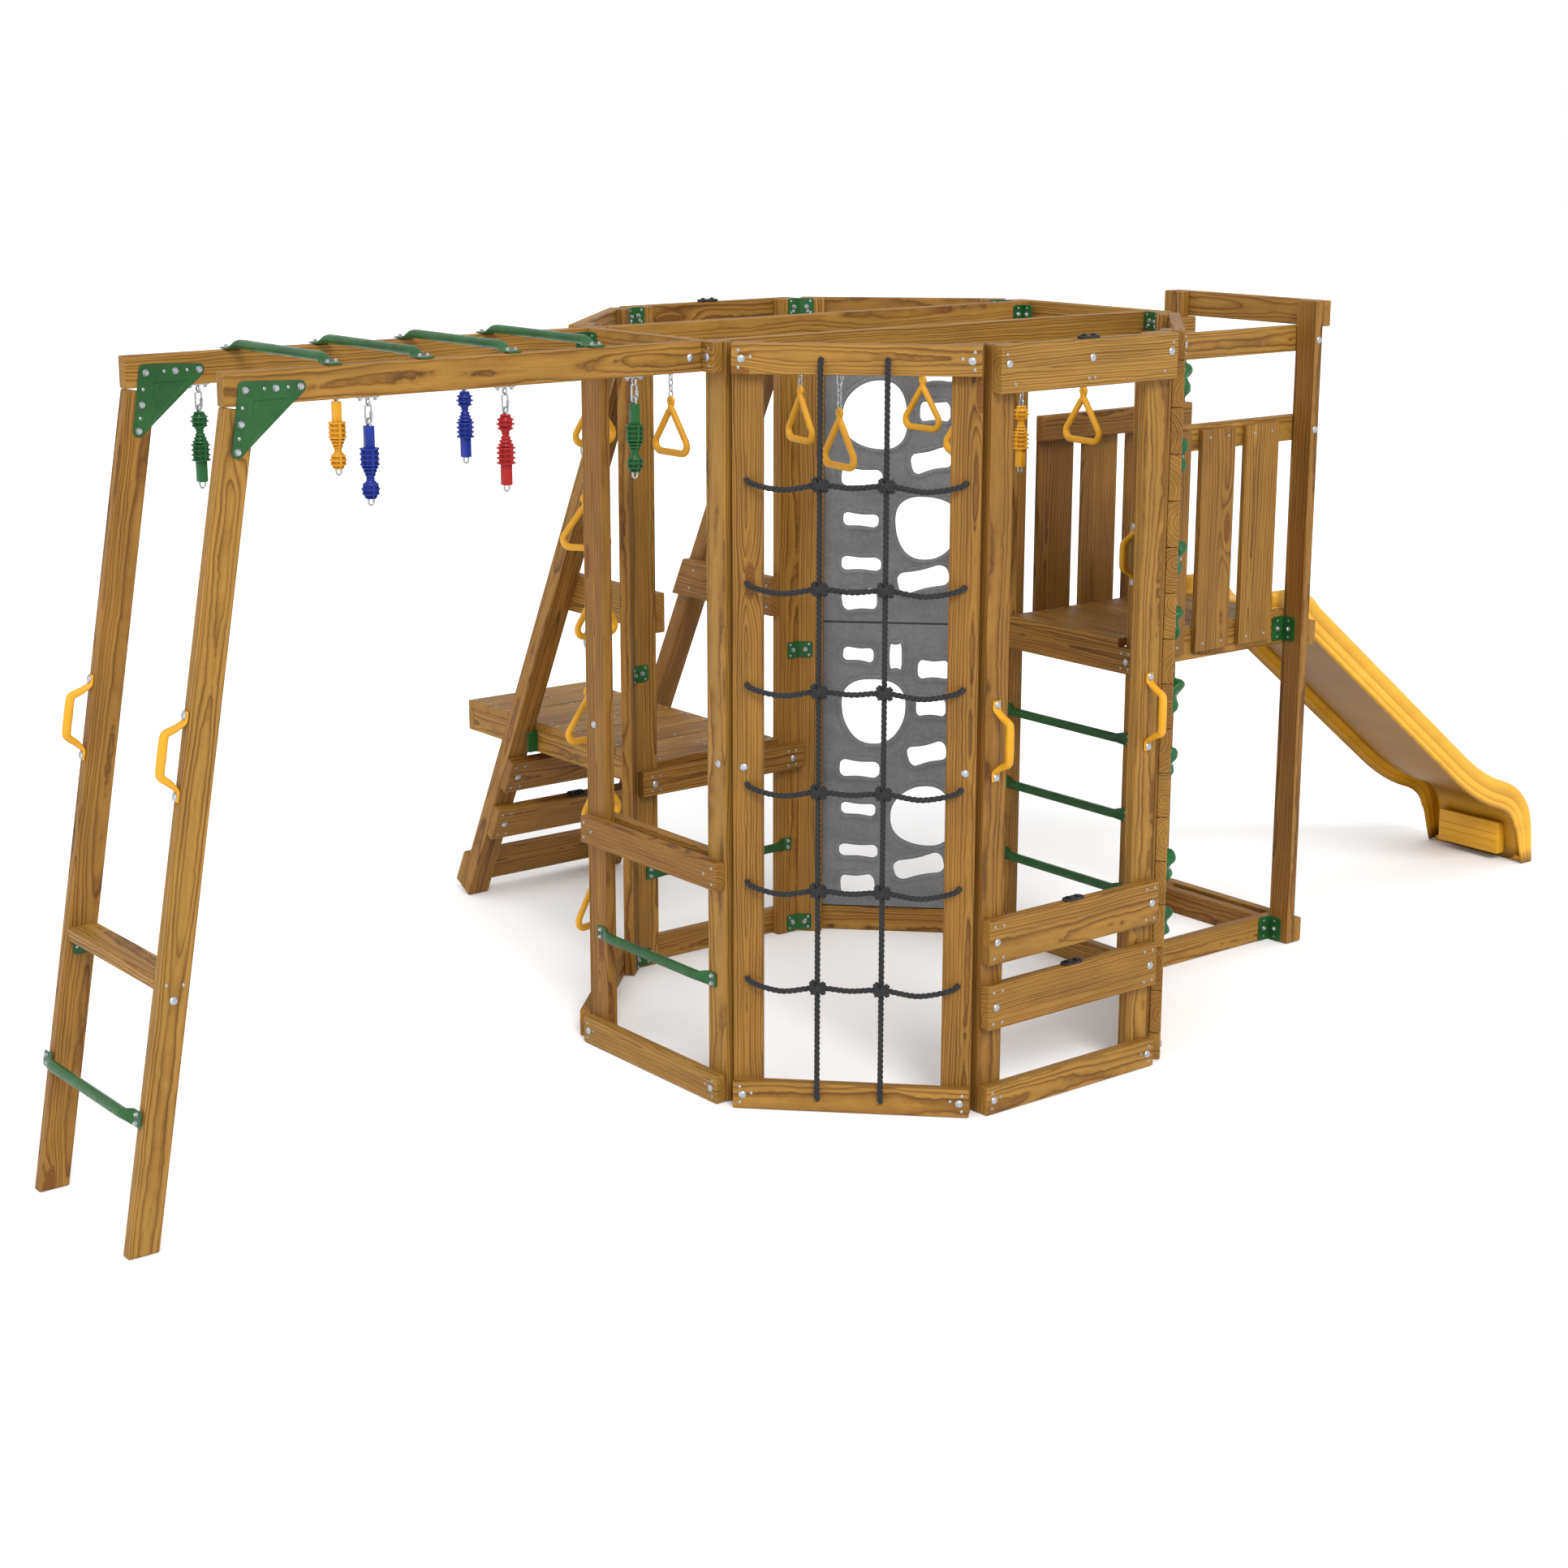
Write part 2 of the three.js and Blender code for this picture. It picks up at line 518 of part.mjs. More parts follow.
// ---- hanging pieces, each modelled with its hinge pin at the origin ----
// A long wire link in the XZ plane, its upper bend round the pin.
function wireLink(length, radius = LINK_R, wire = WIRE_R) {
  const top = wire * 2 + 1.5;
  const bends = [[top - radius, [-12, 22, 56, 90]], [top - length + radius, [90, 124, 158, 192]]];
  return union([-1, 1].map((way) => tube(bends.flatMap(([z, turns]) => turns.map((degrees) => {
    const turn = THREE.MathUtils.degToRad(degrees);
    return [way * radius * Math.sin(turn), 0, z + radius * Math.cos(turn)];
  })), wire, 5, 8)));
}

function gripBody(ballUp) {
  const profile = [
    [0, 0], [15, -2], [23, -12], [GRIP_R, -25], [22, -40], [12, -50], [16, -62], [20, -84],
    [GRIP_R, -90], [GRIP_R, -137], [0, -137],
  ];
  const points = profile.map(([r, z]) => new THREE.Vector2(r, z)).reverse();
  const turned = new THREE.LatheGeometry(points, 10).rotateX(Math.PI / 2);
  const shaft = box(-12.5, 12.5, -12.5, 12.5, -GRIP_LENGTH, -136);
  const body = union([turned, shaft]);
  return ballUp ? body : body.rotateX(Math.PI).translate(0, 0, -GRIP_LENGTH);
}

function addGrip({ name, x, side, ballUp, drop, colour }) {
  const pin = RAIL_LOW - EYE_DROP;
  const lowest = RAIL_LOW - drop - pin;
  const bodyTop = lowest + 17 + GRIP_LENGTH;
  const loop = (z) => new THREE.TorusGeometry(9, WIRE_R, 5, 8).rotateX(Math.PI / 2).translate(0, 0, z);
  const chain = bar([0, 0, -48], [0, 0, bodyTop - 4], 5, 5);
  const geometry = union([
    gripBody(ballUp).translate(0, 0, bodyTop), wireLink(60), chain, loop(lowest + 12),
  ]);
  addPiece(name, geometry.translate(x, side * BEAM_MID, pin), colour);
}
GRIPS.forEach(addGrip);

// A rounded triangle with a bar at its foot, in the XZ plane, its apex at z = 0.
function ringBody({ width, height, bar: thick, deep }) {
  const outline = (inset) => {
    const half = width / 2 - inset;
    const low = -height + inset;
    const high = -inset * 1.6;
    const corner = 34 - inset * 0.7;
    const neck = Math.max(16 - inset * 0.45, 4);
    const shape = new THREE.Shape();
    shape.moveTo(-half + corner, low);
    shape.lineTo(half - corner, low);
    shape.quadraticCurveTo(half, low, half - corner * 0.12, low + corner * 1.2);
    shape.lineTo(neck + 4, high - 10);
    shape.quadraticCurveTo(neck, high, 0, high);
    shape.quadraticCurveTo(-neck, high, -neck - 4, high - 10);
    shape.lineTo(-half + corner * 0.12, low + corner * 1.2);
    shape.quadraticCurveTo(-half, low, -half + corner, low);
    return shape;
  };
  const outer = outline(0);
  const inner = outline(thick);
  outer.holes = [inner];
  return plateXZ(outer, -deep / 2, deep / 2, 3);
}

function addRing({ name, x, side, yaw }) {
  const pin = RAIL_LOW - EYE_DROP;
  const apex = RAIL_LOW - RING.drop + RING.height - pin;
  const geometry = union([
    ringBody(RING).rotateZ(THREE.MathUtils.degToRad(yaw)).translate(0, 0, apex),
    wireLink(60), bar([0, 0, -48], [0, 0, apex - 8], 5, 5),
  ]);
  addPiece(name, geometry.translate(x, side * BEAM_MID, pin), 'yellow');
}
RINGS.forEach(addRing);

// The ring ladder hangs from the middle of the ring panel's top rail; each ring's link goes round the
// bar of the ring above it.
function addRingLadder() {
  const outward = THREE.MathUtils.degToRad(135);
  const fromMiddle = POST_OUT + THICK / 2;
  const place = [fromMiddle * Math.cos(outward), fromMiddle * Math.sin(outward)];
  const barMid = RING.bar / 2;
  let pin = RAIL_LOW - EYE_DROP;
  let above = outward - Math.PI / 2;
  let lowest = RAIL_LOW;
  STEP_RINGS.forEach(([yaw, slid, reach], i) => {
    lowest -= reach;
    const apex = lowest + RING.height - pin;
    const hook = i === 0 ? wireLink(60) : wireLink(66, 19).translate(0, 0, barMid + 4);
    hook.rotateZ(above - Math.PI / 2);
    const chain = bar([0, 0, -36], [0, 0, apex - 8], 5, 6);
    const turn = THREE.MathUtils.degToRad(yaw);
    const ring = ringBody(RING).rotateZ(turn).translate(0, 0, apex);
    place[0] += slid * Math.cos(above);
    place[1] += slid * Math.sin(above);
    addPiece(`ladder_ring_${i + 1}`, union([hook, chain, ring]).translate(...place, pin), 'yellow');
    pin = lowest + barMid;
    above = turn;
  });
}
addRingLadder();

// ---- origin at the middle of the base ----
const bounds = new THREE.Box3().setFromObject(frame);
const middle = bounds.getCenter(new THREE.Vector3());
frame.position.set(-middle.x, -middle.y, -bounds.min.z);

export default frame;
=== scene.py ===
"""Looks of a timber climbing frame with a monkey-bar arm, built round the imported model.

Shapes are built in millimetres from the octagon's centre, and become metres in the model's own frame.
"""
import json
import math
import random

import bmesh
import bpy
from mathutils import Matrix, Vector, noise


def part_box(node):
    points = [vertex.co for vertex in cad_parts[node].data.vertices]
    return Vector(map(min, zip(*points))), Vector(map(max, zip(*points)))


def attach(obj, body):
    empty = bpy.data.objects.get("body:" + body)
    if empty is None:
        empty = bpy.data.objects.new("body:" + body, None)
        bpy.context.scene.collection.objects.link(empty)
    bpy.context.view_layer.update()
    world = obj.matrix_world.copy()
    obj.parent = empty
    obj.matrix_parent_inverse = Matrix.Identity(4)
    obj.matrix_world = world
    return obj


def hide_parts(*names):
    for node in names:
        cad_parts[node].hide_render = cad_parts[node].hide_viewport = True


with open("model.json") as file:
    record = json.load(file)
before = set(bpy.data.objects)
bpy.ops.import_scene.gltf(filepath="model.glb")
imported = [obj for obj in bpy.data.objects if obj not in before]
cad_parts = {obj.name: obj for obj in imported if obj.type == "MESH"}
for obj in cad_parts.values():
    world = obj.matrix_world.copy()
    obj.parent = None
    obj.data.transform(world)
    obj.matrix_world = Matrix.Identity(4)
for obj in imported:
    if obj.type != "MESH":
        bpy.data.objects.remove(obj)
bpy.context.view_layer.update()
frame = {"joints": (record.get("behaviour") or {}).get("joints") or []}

# ---- dimensions, read from the frame ----
MM = 0.001
ROOT = "structure"
front_low, front_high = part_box("front_panel_frame")
arm_panel_low, arm_panel_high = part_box("arm_panel_frame")
CENTRE = Vector(((front_low.x + front_high.x) / 2, (arm_panel_low.y + arm_panel_high.y) / 2, 0))


def span(node):
    """A node's lowest and highest corners, in millimetres from the octagon's centre."""
    low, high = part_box(node)
    return (low - CENTRE) / MM, (high - CENTRE) / MM


THICK = 38
W4 = 89
W6 = 140
EASE = 4                                   # rounding of the boards' edges
CORNER_FILL = 1.8                          # brings the eased edges of two neighbouring posts together
GAP = 0.4                                  # left between boards that meet, so no two faces coincide
BRACKET = 3.2                              # thickness of the bent steel brackets
POST_MIDDLE = 1070                         # height of the brackets and bolts half way up the posts
SIDES = (-1, 1)
HEIGHT = span("front_panel_frame")[1].z
RAIL_OUT = -span("front_panel_frame")[0].y
POST_OUT = RAIL_OUT - THICK
APOTHEM = POST_OUT - THICK
HALF = APOTHEM / (1 + math.sqrt(2))
RAIL_LOW = HEIGHT - W4
BEAM_OUT = -span("arm_beam_near")[0].y
BEAM_Y = BEAM_OUT - THICK
ARM_END = span("arm_beam_near")[0].x
LEG_FOOT = span("arm_leg_near")[0].x
LEG_SLOPE = 0.1775
DECK_TOP = span("deck_floor")[0].z
DECK_BOARD = 30
DECK_END = span("deck_floor")[1].x
TOWER_OUT = span("tower_end_frame")[1].x
TOWER_POST_OUT = TOWER_OUT - THICK
TOWER_IN = TOWER_POST_OUT - THICK
MEMBER_OUT = HALF - W4
MEMBER_Y = MEMBER_OUT - THICK
RAILING_LOW = span("tower_railing_near")[1].z - W4
SLAT_LOW = 1140
SLAT_HIGH = 1915
SLAT_THICK = 22
SLAT_WIDTH = 167
SLAT_X = [1057, 1278, 1500]
PLATFORM_TOP = span("platform")[1].z
PLATFORM_END = span("platform")[1].y
LEAN_FOOT = 2018.6
LEAN_RUN = 0.5                             # how far the ladder leans in for each unit of height
LEAN_ANGLE = math.atan(LEAN_RUN)
LEAN_THICK = 64
LEAN_STEPS = [310, 540]                    # how far up the legs each step starts
SLIDE_HALF = span("slide")[1].y
RIM_HALF = 197
LADDER_RUNG_Z = [341, 609, 878]
RUNG_RISE = 18
LEG_RUNG_Z = 382
FRONT_BOARD_LOW = [272, 478]
ARM_BOARD_LOW = 681
PLATFORM_BOARD_LOW = 635
WALL_BOARDS = 15

random_board = random.Random(11)
TO_FRAME = Matrix.Translation(CENTRE) @ Matrix.Scale(MM, 4)
STILL = Matrix.Identity(4)


def turn(degrees, axis="Z"):
    return Matrix.Rotation(math.radians(degrees), 4, axis)


def shift(x, y, z):
    return Matrix.Translation((x, y, z))


# A panel's own axes: +X points out of the octagon, +Y runs along its side.
PANEL = [turn(-135 + 45 * k) for k in range(8)]
NET, FRONT, WALL, DECK, MOULDED, PLATFORM, RING, ARM = range(8)


# ---- camera ----
def make_camera():
    data = bpy.data.cameras.new("camera")
    data.lens = 61.44
    data.shift_x = 0.0122
    data.shift_y = -0.0236
    camera = bpy.data.objects.new("camera", data)
    camera.location = TO_FRAME @ Vector((-5616.4, -6568.4, 3007.6))
    heading = math.radians(51.956)
    dip = math.radians(-13.57)
    look = Vector((math.cos(dip) * math.cos(heading), math.cos(dip) * math.sin(heading), math.sin(dip)))
    camera.rotation_euler = look.to_track_quat("-Z", "Y").to_euler()
    bpy.context.scene.collection.objects.link(camera)
    bpy.context.scene.camera = camera


make_camera()


# ---- materials ----
TONE = 0.64                                # darkens the pieces' colours to suit the white studio


def linear(red, green, blue):
    """A screen colour, 0 to 255, as the linear colour that a shader takes, darkened by TONE."""
    def channel(value):
        share = value / 255
        return share / 12.92 if share <= 0.04045 else ((share + 0.055) / 1.055) ** 2.4
    return (TONE * channel(red), TONE * channel(green), TONE * channel(blue), 1)


class Graph:
    """A material's nodes: add() makes one and links or sets its inputs."""

    def __init__(self, name):
        self.material = bpy.data.materials.new(name)
        self.material.use_nodes = True
        self.tree = self.material.node_tree
        self.tree.nodes.clear()
        self.shader = self.tree.nodes.new("ShaderNodeBsdfPrincipled")
        output = self.tree.nodes.new("ShaderNodeOutputMaterial")
        self.tree.links.new(self.shader.outputs[0], output.inputs[0])

    def set(self, node, inputs):
        for key, value in inputs.items():
            if isinstance(value, bpy.types.NodeSocket):
                self.tree.links.new(value, node.inputs[key])
            else:
                node.inputs[key].default_value = value

    def add(self, kind, inputs=None, **settings):
        node = self.tree.nodes.new("ShaderNode" + kind)
        for key, value in settings.items():
            setattr(node, key, value)
        self.set(node, inputs or {})
        return node

    def math(self, operation, first, second=0.0, third=0.0):
        return self.add("Math", {0: first, 1: second, 2: third}, operation=operation).outputs[0]

    def times(self, first, second):
        return self.math("MULTIPLY", first, second)

    def plus(self, first, second):
        return self.math("ADD", first, second)

    def ramp(self, value, stops):
        node = self.add("ValToRGB", {0: value})
        while len(node.color_ramp.elements) < len(stops):
            node.color_ramp.elements.new(0.5)
        for element, (place, colour) in zip(node.color_ramp.elements, stops):
            element.position = place
            element.color = colour
        return node.outputs[0]

    def greys(self, value, *stops):
        return self.ramp(value, [(place, grey(level)) for place, level in stops])

    def mix(self, share, first, second, blend="MIX"):
        node = self.add("Mix", {0: share, 6: first, 7: second}, data_type="RGBA", blend_type=blend)
        return node.outputs[2]

    def noise(self, vector, scale, detail=2.0, roughness=0.5):
        return self.add("TexNoise", {
            "Vector": vector, "Scale": scale, "Detail": detail, "Roughness": roughness,
        }).outputs[0]

    def stretched(self, vector, along, across, depth):
        node = self.add("VectorMath", {0: vector, 1: (along, across, depth)}, operation="MULTIPLY")
        return node.outputs[0]

    def bump(self, height, distance, strength):
        node = self.add("Bump", {"Height": height, "Distance": distance, "Strength": strength})
        self.set(self.shader, {"Normal": node.outputs[0]})


def grey(value):
    return (value, value, value, 1)


def make_wood():
    """Stained softwood. The grain attribute is a point's place along, across and through its board, in
    metres from the tree's middle, so rings run as lines on the faces and as arcs on the ends."""
    graph = Graph("timber")
    grain = graph.add("Attribute", attribute_name="grain").outputs["Vector"]
    tone = graph.add("Attribute", attribute_name="tone").outputs["Fac"]
    axes = graph.add("SeparateXYZ", {0: grain})
    along, across, depth = axes.outputs
    # knots: a few cells along each board pull the rings round them
    face_place = graph.add("CombineXYZ", {
        0: graph.times(along, 1.5), 1: graph.times(across, 5.5),
    })
    cells = graph.add("TexVoronoi", {"Vector": face_place.outputs[0], "Scale": 1.0},
                      voronoi_dimensions="2D")
    cell_red = graph.add("SeparateColor", {0: cells.outputs["Color"]}).outputs[0]
    has_knot = graph.math("GREATER_THAN", cell_red, 0.8)
    closeness = graph.math("SUBTRACT", 1.0, graph.times(cells.outputs["Distance"], 3.4))
    near_knot = graph.math("POWER", graph.math("MAXIMUM", closeness, 0.0), 2.0)
    pull = graph.times(graph.times(near_knot, has_knot), 0.034)
    # distance from the tree's middle, wandering slowly along the board
    squares = graph.plus(graph.math("POWER", across, 2.0), graph.math("POWER", depth, 2.0))
    radius = graph.math("SQRT", squares)
    slow = graph.noise(graph.stretched(grain, 1.7, 9, 9), 1.0, 2.0)
    fine = graph.noise(graph.stretched(grain, 24, 26, 26), 1.0, 2.0)
    wander = graph.plus(graph.times(slow, 0.034), graph.times(fine, 0.0046))
    ringed = graph.plus(graph.plus(radius, wander), pull)
    ripple = graph.times(graph.math("SINE", graph.times(ringed, 330.0)), 0.0012)
    uneven = graph.plus(ringed, ripple)
    ring = graph.math("FRACT", graph.math("DIVIDE", uneven, 0.0082))
    light = linear(182, 139, 72)
    honey = linear(168, 123, 58)
    brown = linear(136, 94, 42)
    line = linear(104, 70, 32)
    rings = graph.ramp(ring, [
        (0.0, honey), (0.18, light), (0.55, honey), (0.80, brown), (0.90, line), (0.99, honey),
    ])
    soft = graph.ramp(ring, [(0.0, honey), (0.4, light), (0.8, honey), (0.95, brown)])
    strength = graph.noise(graph.stretched(grain, 2.2, 22, 22), 1.0, 3.0)
    strength = graph.greys(strength, (0.36, 0.15), (0.56, 1.0))
    wood = graph.mix(strength, soft, rings)
    # fine fibres and slow blotches of stain
    fibre = graph.noise(graph.stretched(grain, 9, 520, 520), 1.0, 3.0)
    wood = graph.mix(0.55, wood, graph.greys(fibre, (0.3, 0.66), (0.62, 1.12)), "MULTIPLY")
    blotch = graph.noise(graph.stretched(grain, 4, 17, 17), 1.0, 3.0)
    wood = graph.mix(0.5, wood, graph.greys(blotch, (0.3, 0.70), (0.7, 1.20)), "MULTIPLY")
    # the knots themselves, with their own tight rings
    knot_ring = graph.math("FRACT", graph.times(cells.outputs["Distance"], 42.0))
    knot = graph.ramp(knot_ring, [
        (0.0, linear(158, 104, 44)), (0.7, linear(122, 78, 34)), (1.0, linear(150, 98, 42)),
    ])
    in_knot = graph.times(graph.math("LESS_THAN", cells.outputs["Distance"], 0.085), has_knot)
    wood = graph.mix(in_knot, wood, knot)
    # boards differ: from darker and browner to paler
    shade = graph.ramp(tone, [
        (0.0, (0.78, 0.68, 0.50, 1)), (0.5, (0.95, 0.88, 0.66, 1)), (1.0, (1, 0.97, 0.78, 1)),
    ])
    wood = graph.mix(1.0, wood, shade, "MULTIPLY")
    roughness = graph.greys(fibre, (0.3, 0.62), (0.7, 0.48))
    graph.set(graph.shader, {"Base Color": wood, "Roughness": roughness, "Specular IOR Level": 0.2})
    relief = graph.plus(graph.times(ring, 0.6), fibre)
    graph.bump(relief, 0.0006, 0.6)
    return graph.material


def make_paint(name, colour, roughness):
    """Powder coat: a slightly uneven colour, darker and paler in patches, over a fine orange peel."""
    graph = Graph(name)
    place = graph.add("NewGeometry").outputs["Position"]
    patch = graph.noise(place, 9.0, 4.0)
    dark = tuple(0.72 * c for c in colour[:3]) + (1,)
    pale = tuple(min(1, 1.16 * c + 0.006) for c in colour[:3]) + (1,)
    graph.set(graph.shader, {
        "Base Color": graph.ramp(patch, [(0.32, dark), (0.52, colour), (0.75, pale)]),
        "Roughness": graph.greys(graph.noise(place, 60.0, 2.0),
                                 (0.3, roughness - 0.07), (0.7, roughness + 0.1)),
        "Coat Weight": 0.06, "Coat Roughness": 0.25, "Specular IOR Level": 0.3,
    })
    graph.bump(graph.noise(place, 900.0, 2.0), 0.00025, 0.5)
    return graph.material


def make_plastic(name, colour, roughness, speckle=0.0, under=False):
    """Moulded plastic: faint flow marks and a fine texture, specks where the material is recycled, and,
    with under set, painted shade that darkens and browns the faces that point down."""
    graph = Graph(name)
    place = graph.add("NewGeometry").outputs["Position"]
    flow = graph.noise(graph.stretched(place, 3, 3, 11), 1.0, 4.0)
    dark = tuple(0.84 * c for c in colour[:3]) + (1,)
    pale = tuple(min(1, 1.10 * c + 0.004) for c in colour[:3]) + (1,)
    look = graph.ramp(flow, [(0.3, dark), (0.5, colour), (0.72, pale)])
    height = graph.noise(place, 700.0, 2.0)
    if speckle:
        specks = graph.noise(place, 120.0, 5.0, 0.75)
        flecks = graph.greys(specks, (0.38, 0.55), (0.5, 1.0), (0.64, 1.55))
        look = graph.mix(speckle, look, flecks, "MULTIPLY")
        swirl = graph.noise(place, 26.0, 3.0)
        look = graph.mix(speckle, look, graph.greys(swirl, (0.35, 0.8), (0.65, 1.2)), "MULTIPLY")
    if under:
        # painted shade: faces that point down are darkened and browned, standing in for the shade under the
        # slide
        upward = graph.add("SeparateXYZ", {0: graph.add("NewGeometry").outputs["Normal"]}).outputs[2]
        painted_under_shade = graph.ramp(graph.math("MULTIPLY_ADD", upward, 0.5, 0.5), [
            (0.12, (0.34, 0.30, 0.22, 1)), (0.3, (0.62, 0.58, 0.50, 1)), (0.5, grey(1.0)),
        ])
        look = graph.mix(1.0, look, painted_under_shade, "MULTIPLY")
    graph.set(graph.shader, {
        "Base Color": look, "Specular IOR Level": 0.3,
        "Roughness": graph.greys(height, (0.3, roughness - 0.05), (0.7, roughness + 0.1)),
    })
    graph.bump(height, 0.0003, 0.35)
    return graph.material


def make_steel():
    """Zinc-plated steel with its faint spangle."""
    graph = Graph("zinc_steel")
    place = graph.add("NewGeometry").outputs["Position"]
    cells = graph.add("TexVoronoi", {"Vector": place, "Scale": 420.0})
    spangle = graph.add("SeparateColor", {0: cells.outputs["Color"]}).outputs[0]
    graph.set(graph.shader, {
        "Base Color": graph.ramp(spangle, [(0.0, linear(176, 180, 184)), (1.0, linear(222, 226, 230))]),
        "Roughness": graph.greys(spangle, (0.0, 0.26), (1.0, 0.42)),
        "Metallic": 0.82,
    })
    graph.bump(graph.noise(place, 800.0, 2.0), 0.0001, 0.3)
    return graph.material


def make_rope():
    """Charcoal rope; the lay attribute counts along and round each strand, so fibres run with it."""
    graph = Graph("rope")
    lay = graph.add("Attribute", attribute_name="lay").outputs["Vector"]
    fibre = graph.noise(graph.stretched(lay, 30, 5, 1), 1.0, 4.0, 0.7)
    fuzz = graph.noise(graph.add("NewGeometry").outputs["Position"], 500.0, 3.0)
    look = graph.ramp(fibre, [
        (0.3, linear(16, 16, 18)), (0.55, linear(32, 32, 34)), (0.75, linear(56, 56, 60)),
    ])
    graph.set(graph.shader, {
        "Base Color": look, "Roughness": 0.8, "Sheen Weight": 0.04, "Sheen Roughness": 0.5,
    })
    graph.bump(graph.plus(fibre, graph.times(fuzz, 0.4)), 0.0009, 0.9)
    return graph.material


MATERIALS = {
    "timber": make_wood(),
    "green_steel": make_paint("green_steel", linear(32, 92, 40), 0.38),
    "rope": make_rope(),
    "grey_plastic": make_plastic("grey_plastic", linear(126, 127, 128), 0.6, speckle=0.3),
    # the slide gets painted shade on its downward faces
    "slide_plastic": make_plastic("slide_plastic", linear(255, 188, 44), 0.4, under=True),
    "yellow_plastic": make_plastic("yellow_plastic", linear(240, 172, 30), 0.4),
    "green_plastic": make_plastic("green_plastic", linear(24, 98, 44), 0.36),
    "blue_plastic": make_plastic("blue_plastic", linear(22, 48, 156), 0.4),
    "red_plastic": make_plastic("red_plastic", linear(178, 18, 22), 0.4),
    "black_plastic": make_plastic("black_plastic", linear(38, 38, 40), 0.5),
    "zinc_steel": make_steel(),
}


# ---- mesh building ----
class Shape:
    """Gathers points and faces in millimetres, then becomes one piece that rides on a body."""

    def __init__(self):
        self.points = []
        self.faces = []
        self.notes = {"grain": [], "tone": [], "lay": []}

    def add(self, points, faces, where=STILL, grain=None, tone=0.5, lay=None):
        start = len(self.points)
        self.points += [where @ Vector(p) for p in points]
        self.faces += [[start + i for i in face] for face in faces]
        self.notes["grain"] += grain or [(0, 0, 0)] * len(points)
        self.notes["tone"] += [tone] * len(points)
        self.notes["lay"] += lay or [(0, 0, 0)] * len(points)

    def build(self, name, slot, body=ROOT, replaces=(), smooth=32):
        mesh = bpy.data.meshes.new(name)
        mesh.from_pydata([TO_FRAME @ p for p in self.points], [], self.faces)
        if slot == "timber":
            self.note(mesh, "grain", "FLOAT_VECTOR", "vector")
            self.note(mesh, "tone", "FLOAT", "value")
        if slot == "rope":
            self.note(mesh, "lay", "FLOAT_VECTOR", "vector")
        mesh.polygons.foreach_set("use_smooth", [True] * len(mesh.polygons))
        mesh.set_sharp_from_angle(angle=math.radians(smooth))
        mesh.update()
        piece = bpy.data.objects.new(name, mesh)
        piece.data.materials.append(MATERIALS[slot])
        bpy.context.scene.collection.objects.link(piece)
        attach(piece, body)
        if replaces:
            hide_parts(*replaces)
        return piece

    def build_timber(self, node, name=None):
        """The boards that stand for a node, called after it unless a name is given."""
        self.build((name or node) + "_timber", "timber", replaces=[node], smooth=20)

    def note(self, mesh, name, kind, field):
        values = self.notes[name]
        flat = [c for value in values for c in value] if kind == "FLOAT_VECTOR" else values
        mesh.attributes.new(name, kind, "POINT").data.foreach_set(field, flat)


def prism(shape, outline, thick, where=STILL, ease=EASE):
    """A board: outline holds (along, across) corners, and thickness runs from 0 on the third axis."""
    mesh = bmesh.new()
    low = [mesh.verts.new((x, y, 0)) for x, y in outline]
    high = [mesh.verts.new((x, y, thick)) for x, y in outline]
    mesh.faces.new(low[::-1])
    mesh.faces.new(high)
    for i in range(len(outline)):
        j = (i + 1) % len(outline)
        mesh.faces.new((low[i], low[j], high[j], high[i]))
    bmesh.ops.recalc_face_normals(mesh, faces=mesh.faces)
    bmesh.ops.bevel(mesh, geom=mesh.edges[:], offset=ease, segments=2, profile=0.5, affect="EDGES")
    mesh.verts.index_update()
    points = [v.co.copy() for v in mesh.verts]
    faces = [[v.index for v in f.verts] for f in mesh.faces]
    mesh.free()
    if where.determinant() < 0:
        faces = [face[::-1] for face in faces]
    middle = sum(y for x, y in outline) / len(outline)
    heart_side = middle + random_board.uniform(-45, 45)
    heart_depth = random_board.choice([-1, 1]) * random_board.uniform(12, 75)
    start = random_board.uniform(0, 9000)
    grain = [((p.x + start) * MM, (p.y - heart_side) * MM, (p.z - heart_depth) * MM) for p in points]
    shape.add(points, faces, where, grain=grain, tone=random_board.random())


def plank(shape, x0, x1, y0, y1, z0, z1, where=STILL, ease=EASE):
    """A square-cut board filling a box, its grain along its longest side."""
    low = Vector((x0, y0, z0))
    size = Vector((x1, y1, z1)) - low
    order = sorted(range(3), key=lambda axis: -size[axis])
    local = Matrix.Translation(low) @ Matrix([
        [1 if order[column] == row else 0 for column in range(3)] + [0] for row in range(3)
    ] + [[0, 0, 0, 1]])
    along, across, thick = (size[axis] for axis in order)
    prism(shape, [(0, 0), (along, 0), (along, across), (0, across)], thick, where @ local, ease)


def both(low, high, side):
    """A span on the positive side, or its mirror image on the negative side."""
    return (low, high) if side > 0 else (-high, -low)


def angles(count):
    """Equal steps round a circle."""
    return [2 * math.pi * i / count for i in range(count)]


def arc(centre, radius, start, end, steps):
    """Points on a circle between two angles in degrees, both ends included."""
    found = []
    for i in range(steps + 1):
        angle = math.radians(start + (end - start) * i / steps)
        found.append((centre[0] + radius * math.cos(angle), centre[1] + radius * math.sin(angle)))
    return found


def lathe(shape, profile, where, sides):
    """Faces round +Z through (radius, height) pairs; a radius of 0 closes an end."""
    points = []
    faces = []
    rings = []
    for radius, height in profile:
        if radius == 0:
            rings.append([len(points)])
            points.append((0, 0, height))
            continue
        rings.append(list(range(len(points), len(points) + sides)))
        points += [(radius * math.cos(a), radius * math.sin(a), height) for a in angles(sides)]
    for low, high in zip(rings, rings[1:]):
        for i in range(sides):
            j = (i + 1) % sides
            if len(low) == 1:
                faces.append([low[0], high[j], high[i]])
            elif len(high) == 1:
                faces.append([low[i], low[j], high[0]])
            else:
                faces.append([low[i], low[j], high[j], high[i]])
    shape.add(points, faces, where)


